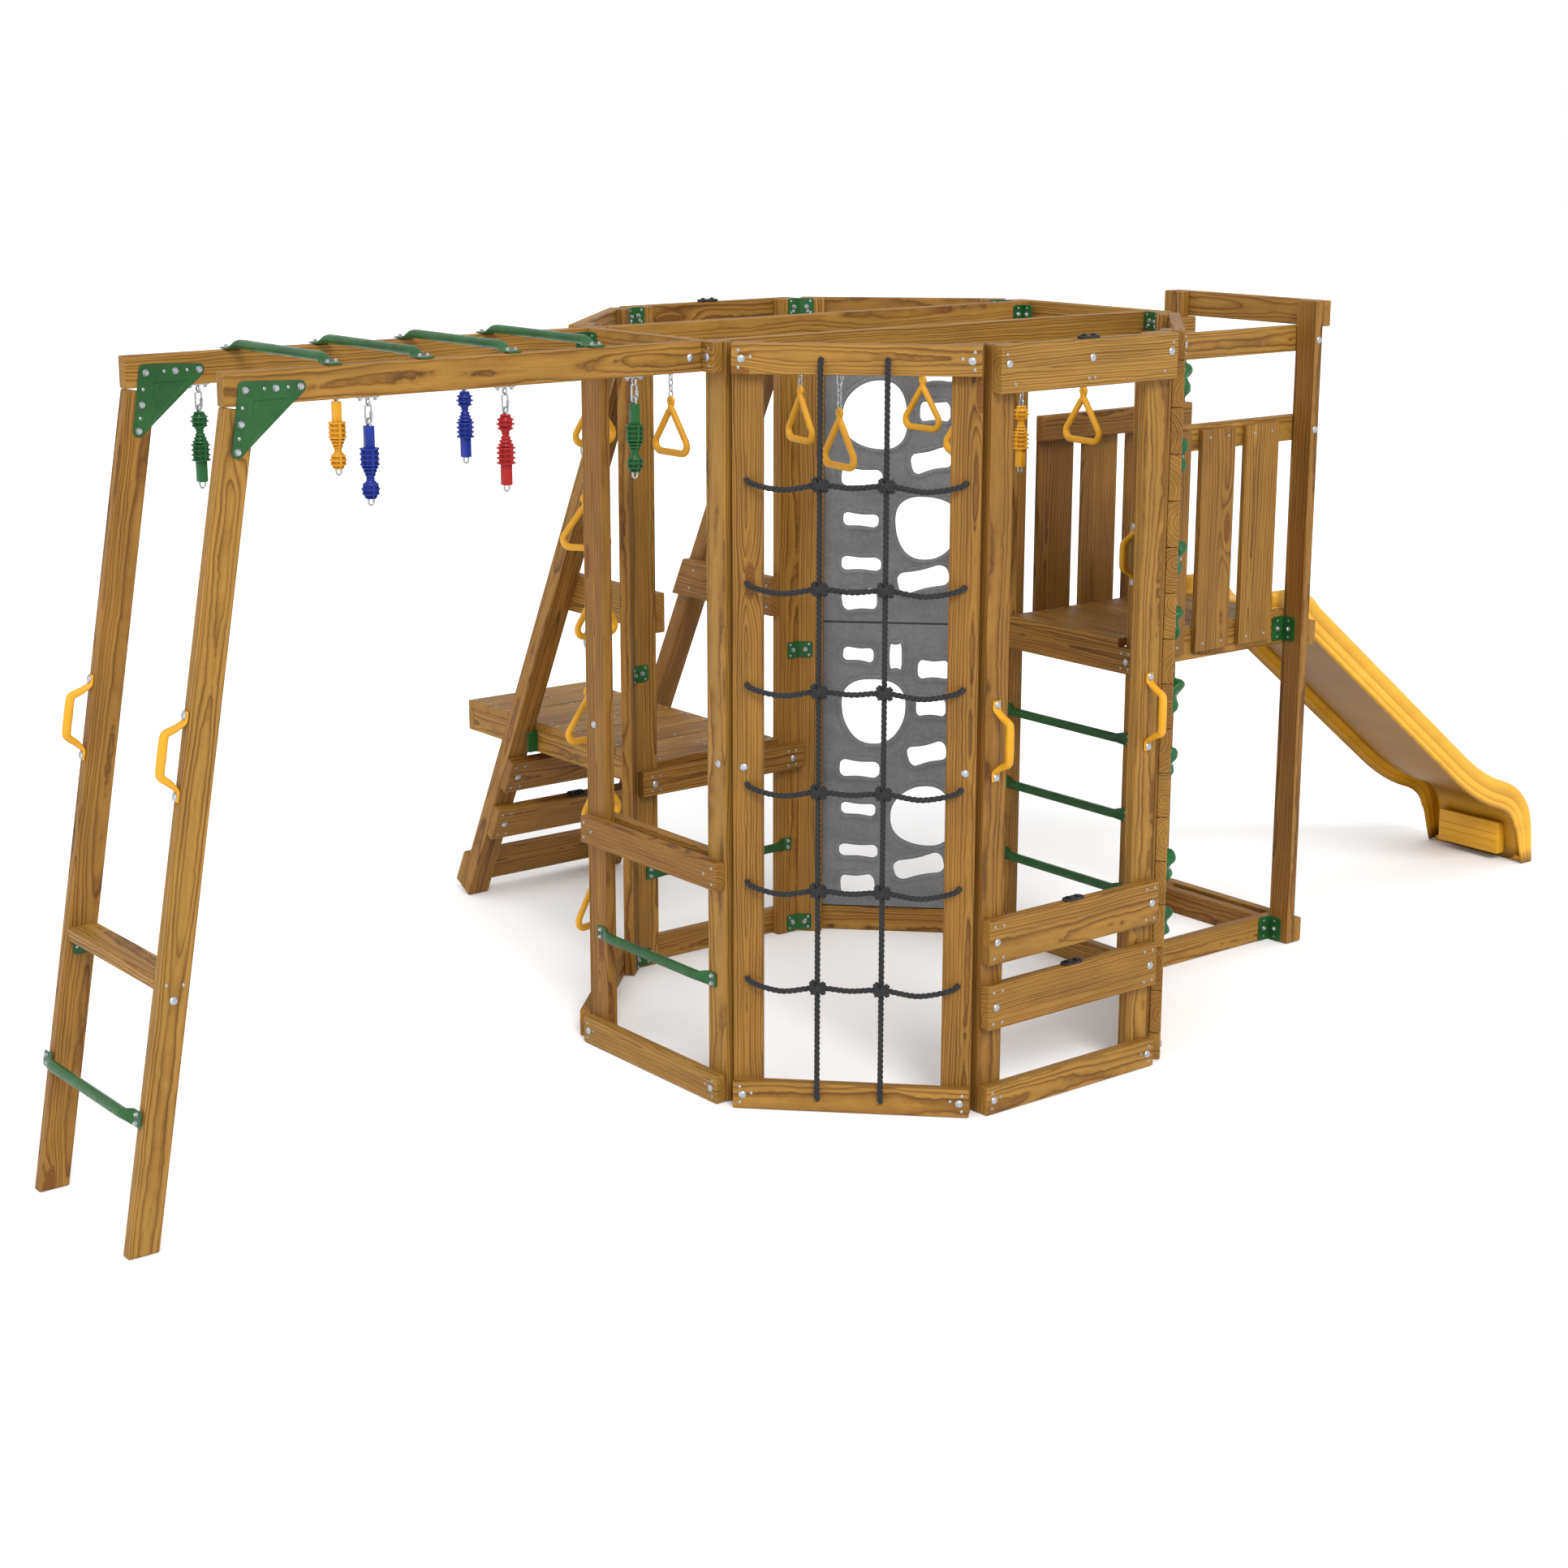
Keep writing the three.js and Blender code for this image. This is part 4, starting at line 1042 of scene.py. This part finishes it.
def make_leaning():
    hardware = Hardware()
    foot_rise = LEAN_THICK * math.sin(LEAN_ANGLE)
    foot_run = LEAN_THICK * math.cos(LEAN_ANGLE)
    back_top = LEAN_FOOT + foot_run - LEAN_RUN * (RAIL_LOW - foot_rise)
    start = POST_OUT + GAP
    brace_low, brace_high = 1205, 1345
    outer = [LEAN_FOOT + 0.9 * foot_run - LEAN_RUN * (z - 0.9 * foot_rise) for z in (brace_low, brace_high)]
    for node, side in (("leaning_leg_left", -1), ("leaning_leg_right", 1)):
        shape = Shape()
        side_board(shape, [
            (LEAN_FOOT, 0), (LEAN_FOOT + foot_run, foot_rise), (back_top, RAIL_LOW - GAP),
            (start, RAIL_LOW - GAP), (start, (LEAN_FOOT - start) / LEAN_RUN),
        ], both(HALF - W4, HALF, side)[0], W4, math.pi / 2 + LEAN_ANGLE)
        side_board(shape, [
            (APOTHEM, brace_low), (outer[0], brace_low), (outer[1], brace_high), (APOTHEM, brace_high),
        ], both(MEMBER_Y, MEMBER_OUT, side)[0], THICK)
        shape.build_timber(node)
        for y, z in ((900, 1235), (900, 1315), (1370, 1240), (1340, 1310)):
            hardware.screw((side * MEMBER_Y, y, z), (-side, 0, 0))
    boards = [("leaning_step_lower", -THICK - GAP, LEAN_STEPS[0], (0, -1, 0)),
              ("leaning_step_upper", -THICK - GAP, LEAN_STEPS[1], (0, -1, 0)),
              ("leaning_foot_board", LEAN_THICK + GAP, 2, (0, 1, 0))]
    for node, out, along, normal in boards:
        shape = Shape()
        plank(shape, -HALF + GAP, HALF - GAP, out, out + THICK, along, along + W6, LEAN)
        shape.build_timber(node)
        face = out if normal[1] < 0 else out + THICK
        for side in SIDES:
            hardware.dome((side * (HALF - 42), face, along + W6 / 2), normal, LEAN)
            for x in (HALF - 24, HALF - 62):
                for up in (22, W6 - 22):
                    hardware.screw((side * x, face, along + up), normal, LEAN)
    make_platform(hardware)
    hardware.build("leaning_fasteners")


def make_platform(hardware):
    shape = Shape()
    half = MEMBER_OUT - GAP
    start = APOTHEM + 1
    board_low = PLATFORM_TOP - DECK_BOARD
    joist_low = board_low - W4 + 3
    for x0, x1 in ((-half, -half + THICK), (-19, 19), (half - THICK, half)):
        plank(shape, x0, x1, start + THICK, PLATFORM_END - THICK, joist_low, board_low)
    for y in (start, PLATFORM_END - THICK):
        plank(shape, -half, half, y, y + THICK, joist_low, board_low)
    edges = [PLATFORM_END - 142 * i for i in range(9)] + [start]
    for high, low in zip(edges, edges[1:]):
        plank(shape, -half, half, low + 1, high - 1, board_low, PLATFORM_TOP, ease=3)
        for x in (-247, 8, 247):
            for y in (low + 20, high - 20):
                hardware.screw((x, y, PLATFORM_TOP), (0, 0, 1))
    shape.build_timber("platform")
    steel = Shape()
    height = 675
    near = LEAN_FOOT - LEAN_RUN * height
    for side in SIDES:
        inner = shift(side * MEMBER_OUT, near, height)
        plate(steel, rounded(-42, 42, -38, 38, 9), BRACKET, inner @ turn(side * 90, "Y"))
        leaf = shift(side * (MEMBER_OUT + BRACKET), near - 40, height) @ turn(90, "X")
        plate(steel, rounded(*both(0, 44, side), -38, 38, 9), BRACKET, leaf)
        for y, z in ((-22, 16), (22, -16)):
            hardware.bolt((side * (MEMBER_OUT + BRACKET), near + y, height + z), (side, 0, 0))
    steel.build("platform_brackets", "green_steel")


# ---- slide ----
def slide_line():
    """The rims' side line, from the deck to the ground, as (x, z)."""
    def bend(a, b, c, count=12):
        found = []
        for i in range(1, count + 1):
            t = i / count
            found.append(tuple((1 - t) ** 2 * p + 2 * t * (1 - t) * q + t * t * r
                               for p, q, r in zip(a, b, c)))
        return found
    line = [(1655, 1292), (1700, 1291), (1745, 1290), (1790, 1288)]
    line += bend((1790, 1288), (1858, 1285), (1930, 1205))
    line += [(1930 + 910 * i / 26, 1205 - 697 * i / 26) for i in range(1, 27)]
    line += bend((2840, 508), (2975, 405), (3100, 365))
    line += bend((3100, 365), (3286, 302), (3298, 130), 14)
    line += [(3304, 65), (3310, 2)]
    return [Vector((x, 0, z)) for x, z in line]


def slide_section():
    """Half of the slide's section, from the skirt's foot over the rim to the middle, as (y, down)."""
    edge = SLIDE_HALF
    section = [(edge - 3, 114), (edge - 3, 89), (edge - 4.2, 87), (edge - 3, 85),
               (edge - 2, 57), (edge - 3.4, 55), (edge - 2, 53), (edge - 1, 22)]
    for i in range(7):
        angle = math.radians(90 * i / 6)
        section.append((edge - 19 + 18 * math.cos(angle), 18 - 18 * math.sin(angle)))
    section += [(RIM_HALF + 14, 0.5), (RIM_HALF + 5, 3), (RIM_HALF - 1, 12), (RIM_HALF - 4, 30)]
    for i in range(1, 7):
        angle = math.radians(90 * i / 6)
        section.append((RIM_HALF - 4 - 30 * (1 - math.cos(angle)), 38 + 30 * math.sin(angle)))
    section += [(RIM_HALF * share, 68 + 5 * (1 - share)) for share in (0.66, 0.44, 0.22, 0)]
    return section


def make_slide():
    shape = Shape()
    line = slide_line()
    half = slide_section()
    section = half + [(-y, down) for y, down in reversed(half[:-1])]
    count = len(section)
    points = []
    for i, place in enumerate(line):
        ahead = line[min(i + 1, len(line) - 1)]
        behind = line[max(i - 1, 0)]
        tangent = (ahead - behind).normalized()
        normal = Vector((-tangent.z, 0, tangent.x))
        for y, down in section:
            reach = down
            if place.x < TOWER_OUT + 16:
                reach = min(down, place.z - DECK_TOP - DECK_BOARD - 1)
            if place.z < 200:
                reach = down * (0.62 + 0.38 * place.z / 200)
            point = place - normal * reach
            points.append((point.x, y, max(point.z, 1)))
    faces = []
    for i in range(len(line) - 1):
        for k in range(count - 1):
            a = i * count + k
            faces.append([a, a + 1, a + count + 1, a + count])
    shape.add(points, faces)
    piece = shape.build("slide_trough", "slide_plastic", replaces=["slide"], smooth=50)
    wall = piece.modifiers.new("wall", "SOLIDIFY")
    wall.thickness = 5 * MM
    wall.offset = -1
    wall.use_even_offset = False
    box = Shape()
    plate_x = 3190
    outline = [(3188, 28), (3236, 28), (3236, 124), (3226, 148), (3206, 160), (3188, 160)]
    prism(box, outline, 296, shift(0, 148, 0) @ turn(90, "X"), ease=5)
    for z in (52, 82, 112):
        tube(box, [(plate_x - 2, -140, z), (plate_x - 2, 140, z)], 2.4, (0, 0, 1), sides=8)
    flange = [(3262, 1), (3310, 1), (3310, 12), (3290, 20), (3262, 20)]
    prism(box, flange, 2 * SLIDE_HALF - 40, shift(0, SLIDE_HALF - 20, 0) @ turn(90, "X"), ease=2)
    box.build("slide_foot", "slide_plastic", smooth=30)
    hardware = Hardware()
    for y in (-140, 0, 140):
        hardware.bolt((1672, y, DECK_TOP + DECK_BOARD + 8), (0, 0, 1))
    hardware.build("slide_fasteners")


# ---- moulded climbing panels ----
MOULDED_HALF = 340
MOULDED_THICK = 18
# Each hole: middle along the panel, middle above the panel's foot, half width, half height, tilt.
MOULDED_HOLES = [
    (90, 748, 124, 130, 0), (-95, 350, 122, 122, 0), (146, 955, 64, 32, 4), (10, 950, 30, 54, 0),
    (-128, 905, 66, 40, 0), (-120, 765, 62, 40, 0), (-108, 590, 80, 42, -14), (140, 525, 82, 38, 3),
    (142, 372, 72, 30, 4), (140, 213, 80, 31, 2), (-85, 160, 102, 44, -14), (144, 82, 72, 44, -4),
]


def hole_outline(y, z, half_width, half_height, tilt):
    """A squarish hole with a waver in its edge; the small ones are drawn in a little at the middle."""
    phase = random.Random(round(y * 7 + z)).uniform(0, 2 * math.pi)
    outline = []
    large = half_width > 100 and half_height > 100
    power = 0.88 if large else 0.66
    t = math.radians(tilt)
    for angle in angles(56):
        c, s = math.cos(angle), math.sin(angle)
        waver = 1 + (0.045 if large else 0.015) * math.sin(3 * angle + phase)
        across = math.copysign(half_width * abs(c) ** power, c) * waver
        waist = 1 if large else 0.96 + 0.26 * min(1, abs(across) / (0.7 * half_width)) ** 2
        up = math.copysign(half_height * abs(s) ** power, s) * waver * waist
        outline.append((y + across * math.cos(t) - up * math.sin(t),
                        z + across * math.sin(t) + up * math.cos(t)))
    return outline


def filled_plate(name, outlines, thick):
    """A flat plate with holes, filled by a 2D curve and turned into a mesh, its edges rounded."""
    edge = 2.5
    data = bpy.data.curves.new(name, "CURVE")
    data.dimensions = "2D"
    data.fill_mode = "BOTH"
    data.extrude = thick / 2 - edge
    data.bevel_depth = edge
    data.bevel_resolution = 2
    data.offset = -edge
    for outline in outlines:
        spline = data.splines.new("POLY")
        spline.points.add(len(outline) - 1)
        spline.use_cyclic_u = True
        for point, (x, y) in zip(spline.points, outline):
            point.co = (x, y, 0, 1)
    holder = bpy.data.objects.new(name, data)
    bpy.context.scene.collection.objects.link(holder)
    bpy.context.view_layer.update()
    found = bpy.data.meshes.new_from_object(holder.evaluated_get(bpy.context.evaluated_depsgraph_get()))
    bpy.data.objects.remove(holder)
    points = [v.co.copy() for v in found.vertices]
    faces = [list(p.vertices) for p in found.polygons]
    bpy.data.meshes.remove(found)
    return points, faces


def make_moulded(node):
    low, high = span(node)
    shape = Shape()
    holes = [hole_outline(y, low.z + z, *rest) for y, z, *rest in MOULDED_HOLES]
    outer = rounded(-MOULDED_HALF, MOULDED_HALF, low.z + 1, high.z - 1, 26, 6)
    points, faces = filled_plate(node + "_fill", [outer, *holes], MOULDED_THICK - 3)
    stand = PANEL[MOULDED] @ shift(POST_OUT + GAP + (MOULDED_THICK - 3) / 2, 0, 0)
    stand = stand @ IN_YZ
    shape.add(points, faces, stand)
    for outline in [outer, *holes]:
        for face, out in (((MOULDED_THICK - 3) / 2, 1), (-(MOULDED_THICK - 3) / 2, -1)):
            if out < 0 and outline is outer:
                continue
            rim = [(x, y, face) for x, y in outline]
            sweep(shape, rim, lambda i: oval(8, 2.2, 10), (0, 0, 1), closed=True, where=stand)
            middle = sum((Vector(p) for p in outline), Vector((0, 0))) / len(outline)
            away = -15 if outline is outer else 13
            line = [Vector(p) + (Vector(p) - middle).normalized() * away for p in outline]
            groove = [(p.x, p.y, face) for p in line]
            sweep(shape, groove, lambda i: oval(1.6, 1.3, 8), (0, 0, 1), closed=True, where=stand)
    shape.build(node + "_moulding", "grey_plastic", replaces=[node], smooth=45)
    hardware = Hardware()
    for y in (-316, 316):
        for z in (low.z + 30, (low.z + high.z) / 2, high.z - 30):
            hardware.dome((POST_OUT + MOULDED_THICK - 2, y, z), OUT, PANEL[MOULDED])
    hardware.build(node + "_bolts")


# ---- handles, holds and cleats ----
def handle(shape, hardware, where, length=210, bulge=62):
    """A straight grip out at x = bulge, bent at each end to a flat bolted foot on the Z axis."""
    rise = [(4, -18, 15, 4), (4, 6, 16, 4.5), (9, 15, 14, 7), (bulge * 0.5, 30, 11.5, 10),
            (bulge - 6, 43, 11.5, 11), (bulge - 0.5, 56, 12, 12)]
    stations = [(x, z, a, b) for x, z, a, b in rise] + [(bulge, length / 2, 12.5, 12.5)]
    stations += [(x, length - z, a, b) for x, z, a, b in reversed(rise)]
    knots = [Vector((x, 0, z)) for x, z, a, b in stations]
    path = []
    outlines = []
    for i in range(len(knots) - 1):
        chain = [knots[max(i - 1, 0)], knots[i], knots[i + 1], knots[min(i + 2, len(knots) - 1)]]
        for step in range(4):
            t = step / 4
            a, b, c, d = chain
            path.append(0.5 * (2 * b + (c - a) * t + (2 * a - 5 * b + 4 * c - d) * t * t
                               + (3 * b - a - 3 * c + d) * t ** 3))
            wide = stations[i][2] * (1 - t) + stations[i + 1][2] * t
            deep = stations[i][3] * (1 - t) + stations[i + 1][3] * t
            outlines.append(oval(deep, wide, 16, 0.85))
    path.append(knots[-1])
    outlines.append(oval(stations[-1][3], stations[-1][2], 16, 0.85))
    sweep(shape, path, lambda i: outlines[i], (0, 1, 0), where=where)
    for z in (-6, length + 6):
        hardware.dome((7.5, 0, z), (1, 0, 0), where)


def make_handles():
    shape = Shape()
    hardware = Hardware()
    for y in (-322, 322):
        handle(shape, hardware, PANEL[FRONT] @ shift(POST_OUT, y, 1058))
    for y, z, length in ((-300, 1431, 177), (316, 1416, 234)):
        handle(shape, hardware, PANEL[DECK] @ shift(APOTHEM, y, z) @ turn(180), length, 55)
    lean = math.atan(LEG_SLOPE)
    for y in (-(BEAM_Y + THICK / 2), BEAM_Y + THICK / 2):
        foot = shift(LEG_FOOT + 1245 * LEG_SLOPE, y, 1245) @ Matrix.Rotation(lean, 4, "Y") @ turn(180)
        handle(shape, hardware, foot, 204, 58)
    shape.build("handles", "yellow_plastic", smooth=50)
    hardware.build("handle_fasteners")


# Each hold: place along the wall and above the ground.
ROCK_HOLDS = [(152, 2138), (300, 1872), (206, 1546), (282, 1314), (99, 1104), (300, 829), (182, 496),
              (296, 266)]


def make_rocks():
    """Lumpy hand holds on the board wall, each with a scooped top and a flat back."""
    shape = Shape()
    hardware = Hardware()
    for index, (y, z) in enumerate(ROCK_HOLDS):
        ball = bmesh.new()
        bmesh.ops.create_icosphere(ball, subdivisions=4, radius=1)
        points = []
        for v in ball.verts:
            n = v.co.normalized()
            lump = (1 + 0.26 * noise.noise(n * 1.3 + Vector((index * 7.1, 0, 0)))
                    + 0.10 * noise.noise(n * 3.4))
            scoop = 0.52 * math.exp(-((n.z + 0.05) / 0.34) ** 2) * max(0.0, n.x)
            horn = 0.45 * math.exp(-((n.z - 0.62) / 0.3) ** 2) * max(0.0, n.x)
            reach = lump - scoop + horn
            points.append((max(-2.0, 34 * n.x * reach + 9), 38 * n.y * reach, 60 * n.z * lump))
        faces = [[v.index for v in f.verts] for f in ball.faces]
        ball.free()
        tilt = (index * 47) % 60 - 30
        place = PANEL[WALL] @ shift(RAIL_OUT, y, z) @ turn(tilt, "X")
        shape.add(points, faces, place)
        hardware.dome((24, 0, -3), OUT, place)
    shape.build("rock_holds", "green_plastic", smooth=80)
    hardware.build("rock_hold_bolts")


def cleat(shape, where):
    """A slotted cleat: a long loop with a bridge, and a raised ear at each end."""
    loop = [(x, y, 4) for x, y in rounded(-36, 36, -13, 13, 11, 5)]
    sweep(shape, loop, lambda i: oval(4, 4.6, 10, 0.8), (0, 0, 1), closed=True, where=where)
    prism(shape, [(-12, -11), (12, -11), (12, 11), (-12, 11)], 8, where, ease=2)
    for x in (-20, 20):
        hook = [(x, -12, 5), (x * 0.92, -6, 9), (x * 0.85, 0, 10), (x * 0.92, 6, 9), (x, 12, 5)]
        sweep(shape, hook, lambda i: oval(4.4, 3.2, 10), (1, 0, 0.2), where=where)


def make_cleats():
    shape = Shape()
    middle = (POST_OUT + RAIL_OUT) / 2
    for z in (HEIGHT, *(low + W6 for low in FRONT_BOARD_LOW)):
        cleat(shape, PANEL[FRONT] @ shift(middle, 0, z) @ turn(90))
    cleat(shape, PANEL[PLATFORM] @ shift(middle, 0, HEIGHT) @ turn(90))
    cleat(shape, LEAN @ shift(0, -THICK / 2, LEAN_STEPS[0] + W6))
    shape.build("cleats", "black_plastic", smooth=40)


# ---- hanging pieces ----
PINS = {joint["child"]: (Vector(joint["pos_m"]) - CENTRE) / MM for joint in frame["joints"]}
GRIPS = {
    "grip_arm_far_green": True, "grip_arm_far_yellow": False, "grip_arm_far_blue": True,
    "grip_arm_near_blue": False, "grip_arm_near_red": True, "grip_arm_near_green": False,
    "grip_inner_yellow": True,
}
RING_YAW = {
    "ring_near_left": 84, "ring_near_middle": 96, "ring_near_right": 88,
    "ring_far_left": 92, "ring_far_middle": 80, "ring_far_right": 94,
}
LADDER_YAW = [6, -56, 5, -2, 10, 15]
GRIP_LENGTH = 197
WIRE = 3.0


def stadium(length, radius):
    """A long link's centreline in the XZ plane, its top bend round the origin."""
    points = []
    for top, start in ((0, 0), (-(length - 2 * radius), 180)):
        points += [(x, 0, z) for x, z in arc((0, top), radius, start, start + 180, 7)]
    return points


def link(shape, where, top, length, radius, wire=WIRE):
    """A closed link whose highest wire is at z = top."""
    tube(shape, stadium(length - 2 * wire, radius), wire, (0, 1, 0), closed=True,
         where=where @ shift(0, 0, top - wire - radius))


def quick_link(shape, where):
    """A link 60 long with a six-sided nut on one side."""
    link(shape, where, 6.5, 60, 9)
    nut = [(0, -9), (5, -9), (5.6, -7.5), (5.6, 7.5), (5, 9), (0, 9)]
    lathe(shape, nut, where @ shift(9, 0, -26), 6)


def chain_down(shape, where, top, bottom):
    """Short links from z = top down to z = bottom, each turned a quarter from the last."""
    count = max(1, round((top - bottom) / 17))
    pitch = (top - bottom) / count
    for i in range(count):
        place = where @ turn(90 + 90 * (i % 2))
        link(shape, place, top - i * pitch + WIRE, pitch + 2.6 * WIRE, 6.5, 2.4)


def make_hangers():
    shape = Shape()
    hardware = Hardware()
    for body, pin in PINS.items():
        if body.startswith("ladder_ring") and body != "ladder_ring_1":
            continue
        where = shift(pin.x, pin.y, RAIL_LOW)
        if body == "ladder_ring_1":
            where = where @ PANEL[RING]
        plate(shape, rounded(-34, 34, -9, 9, 8), 4, where @ turn(180, "X"))
        ring = [(0, 9.5 * math.cos(a), -15 + 9.5 * math.sin(a)) for a in angles(20)]
        tube(shape, ring, 3.1, (1, 0, 0), closed=True, where=where)
        for x in (-23, 23):
            hardware.bolt((x, 0, -4), (0, 0, -1), where, washer=7, head=5.5)
    shape.build("hangers", "zinc_steel", smooth=40)
    hardware.build("hanger_bolts")


def grip_profile():
    """Levels down the grip from z = 0, as (z, outer radius, inner radius, is this a full rib)."""
    def outer(z):
        if z > -50:
            return max(9.0, 24.5 * math.sqrt(max(0.0, 1 - ((z + 25) / 28) ** 2)) + 1)
        if z > -58:
            return 11.5
        if z > -90:
            return 12 + 12.5 * (-58 - z) / 32
        return 26.5
    ribs = [-2, -14, -27, -40, -54, -64, -74, -84, -93, -107, -121, -135]
    levels = []
    for rib in ribs:
        for offset, solid in ((2.3, False), (1.7, True), (-1.7, True), (-2.3, False)):
            z = rib + offset
            if solid:
                levels.append((z, outer(z), outer(z), True))
            else:
                levels.append((z, outer(z), max(9, outer(z) * 0.62), False))
    return levels


def grip_mesh(shape, where):
    """Horizontal ribs round a core, joined by four pairs of upright ribs, on a square shaft."""
    sides = 48
    levels = grip_profile()
    points = []
    for z, outer, inner, solid in levels:
        for i in range(sides):
            upright = (i % 12) in (0, 1, 11)
            radius = outer if solid else 0.92 * outer if upright else inner
            angle = 2 * math.pi * i / sides
            points.append((radius * math.cos(angle), radius * math.sin(angle), z))
    faces = [list(range(sides))]
    for level in range(len(levels) - 1):
        for i in range(sides):
            j = (i + 1) % sides
            a = level * sides
            faces.append([a + i, a + sides + i, a + sides + j, a + j])
    last = (len(levels) - 1) * sides
    faces.append([last + i for i in range(sides)][::-1])
    shape.add(points, faces, where)
    prism(shape, [(-12.5, -12.5), (12.5, -12.5), (12.5, 12.5), (-12.5, 12.5)], GRIP_LENGTH - 134,
          where @ shift(0, 0, -GRIP_LENGTH), ease=3)


def make_grips():
    for name, ball_up in GRIPS.items():
        pin = PINS[name]
        lowest = span(name)[0].z
        top = lowest + 17 + GRIP_LENGTH
        body = Shape()
        where = shift(pin.x, pin.y, top)
        if not ball_up:
            where = where @ shift(0, 0, -GRIP_LENGTH) @ turn(180, "X")
        grip_mesh(body, where @ turn(8))
        colour = name.split("_")[-1]
        body.build(name + "_moulding", colour + "_plastic", name, [name], smooth=24)
        steel = Shape()
        at_pin = shift(pin.x, pin.y, pin.z)
        quick_link(steel, at_pin)
        if pin.z - 50 - top > 20:
            chain_down(steel, at_pin, -48, top - pin.z + 16)
        for z, flip in ((top + 10, 1), (top - GRIP_LENGTH - 8, -1)):
            staple = [(8 * math.cos(a), 0, flip * (9 * math.sin(a) if a > 0 else 0))
                      for a in (math.pi * i / 12 for i in range(13))]
            staple = [(8, 0, -flip * 12), *staple, (-8, 0, -flip * 12)]
            at_end = shift(pin.x, pin.y, z) @ turn(90 if flip > 0 else 0)
            tube(steel, staple, WIRE, (0, 1, 0), where=at_end)
        steel.build(name + "_links", "zinc_steel", name, smooth=40)


RING_WIDTH = 180
RING_HEIGHT = 188


def ring_path():
    """The centreline of a rounded triangle hanging from its eyelet at z = 0, in the XZ plane."""
    half = RING_WIDTH / 2 - 11
    low = -RING_HEIGHT + 11
    corner = 26
    points = []
    for centre, radius, start, end in (
        ((half - corner, low + corner), corner, -90, 27), ((0, -56), 13, 27, 153),
        ((-half + corner, low + corner), corner, 153, 270),
    ):
        points += [Vector((x, 0, z)) for x, z in arc(centre, radius, start, end, 16)]
    return points


def ring_mesh(shape, where):
    """A rounded triangle under an eyelet; its foot is a broad bar with a plain raised pad."""
    knots = ring_path()
    path = []
    for i, here in enumerate(knots):
        after = knots[(i + 1) % len(knots)]
        count = max(1, round((after - here).length / 12))
        path += [here.lerp(after, k / count) for k in range(count)]
    outlines = []
    for p in path:
        foot = max(0.0, min(1.0, 1 - (p.z + RING_HEIGHT - 16) / 26))
        outlines.append(oval(10 + 1.0 * foot, 9.5 + 2.0 * foot, 16, 0.82))
    sweep(shape, path, lambda i: outlines[i], (0, 1, 0), closed=True, where=where)
    eyelet = [(9 * math.cos(a), 0, -15 + 9 * math.sin(a)) for a in angles(20)]
    sweep(shape, eyelet, lambda i: oval(8.5, 5.5, 14, 0.8), (0, 1, 0), closed=True, where=where)
    neck = [(0, 0, -24), (0, 0, -34), (0, 0, -46)]
    sweep(shape, neck, lambda i: oval((9, 12, 16)[i], 8.5, 14, 0.8), (0, 1, 0), where=where)
    for side in SIDES:
        pad = where @ shift(0, side * 10.6, -RING_HEIGHT + 11) @ turn(-90 * side, "X")
        plate(shape, rounded(-26, 26, -5.5, 5.5, 5), 2.4, pad)


def hang_ring(name, yaw, bearing, above=False):
    """A ring and the links it hangs by: a quick link, or a long one round the ring above."""
    pin = PINS[name]
    apex = span(name)[0].z + RING_HEIGHT
    body = Shape()
    ring_mesh(body, shift(pin.x, pin.y, apex) @ turn(yaw))
    body.build(name + "_moulding", "yellow_plastic", name, [name], smooth=40)
    steel = Shape()
    at_pin = shift(pin.x, pin.y, pin.z) @ turn(bearing)
    if above:
        link(steel, at_pin, 19, 66, 17)
    else:
        quick_link(steel, at_pin)
    chain_down(steel, at_pin, -40 if above else -48, apex - pin.z - 18)
    steel.build(name + "_links", "zinc_steel", name, smooth=40)


def make_rings():
    for name, yaw in RING_YAW.items():
        hang_ring(name, yaw, 0)


def make_ladder():
    """Six rings in a chain; each one's top link goes round the bar of the ring above."""
    bearing = 45.0
    for i, yaw in enumerate(LADDER_YAW):
        hang_ring(f"ladder_ring_{i + 1}", yaw, bearing - 90, above=i > 0)
        bearing = yaw


# ---- surroundings ----
def make_stage():
    data = bpy.data.meshes.new("floor")
    reach = 60
    corners = [(-reach, -reach), (reach, -reach), (reach, reach), (-reach, reach)]
    data.from_pydata([(x, y, -0.002) for x, y in corners], [], [(0, 1, 2, 3)])
    floor = bpy.data.objects.new("floor", data)
    graph = Graph("floor")
    graph.set(graph.shader, {"Base Color": grey(0.92), "Roughness": 0.9, "Specular IOR Level": 0.1})
    data.materials.append(graph.material)
    bpy.context.scene.collection.objects.link(floor)
    world = bpy.data.worlds.new("studio")
    world.use_nodes = True
    background = world.node_tree.nodes["Background"]
    background.inputs[0].default_value = (1.0, 1.0, 1.0, 1)
    background.inputs[1].default_value = 1.0
    bpy.context.scene.world = world
    for name, strength, size, heading in (("key", 2.3, 25, (0.30, 0.72, -0.62)),
                                          ("fill", 0.7, 60, (0.95, 0.1, -0.4))):
        data = bpy.data.lights.new(name, "SUN")
        data.energy = strength
        data.angle = math.radians(size)
        lamp = bpy.data.objects.new(name, data)
        lamp.rotation_euler = Vector(heading).to_track_quat("-Z", "Y").to_euler()
        bpy.context.scene.collection.objects.link(lamp)
    bpy.context.scene.view_settings.view_transform = "Standard"


make_net()
make_net_knots()
make_octagon()
make_octagon_fasteners()
make_corner_brackets()
make_rungs()
make_arm()
make_tower()
make_leaning()
make_slide()
make_moulded("moulded_panel_lower")
make_moulded("moulded_panel_upper")
make_handles()
make_rocks()
make_cleats()
make_hangers()
make_grips()
make_rings()
make_ladder()
make_stage()
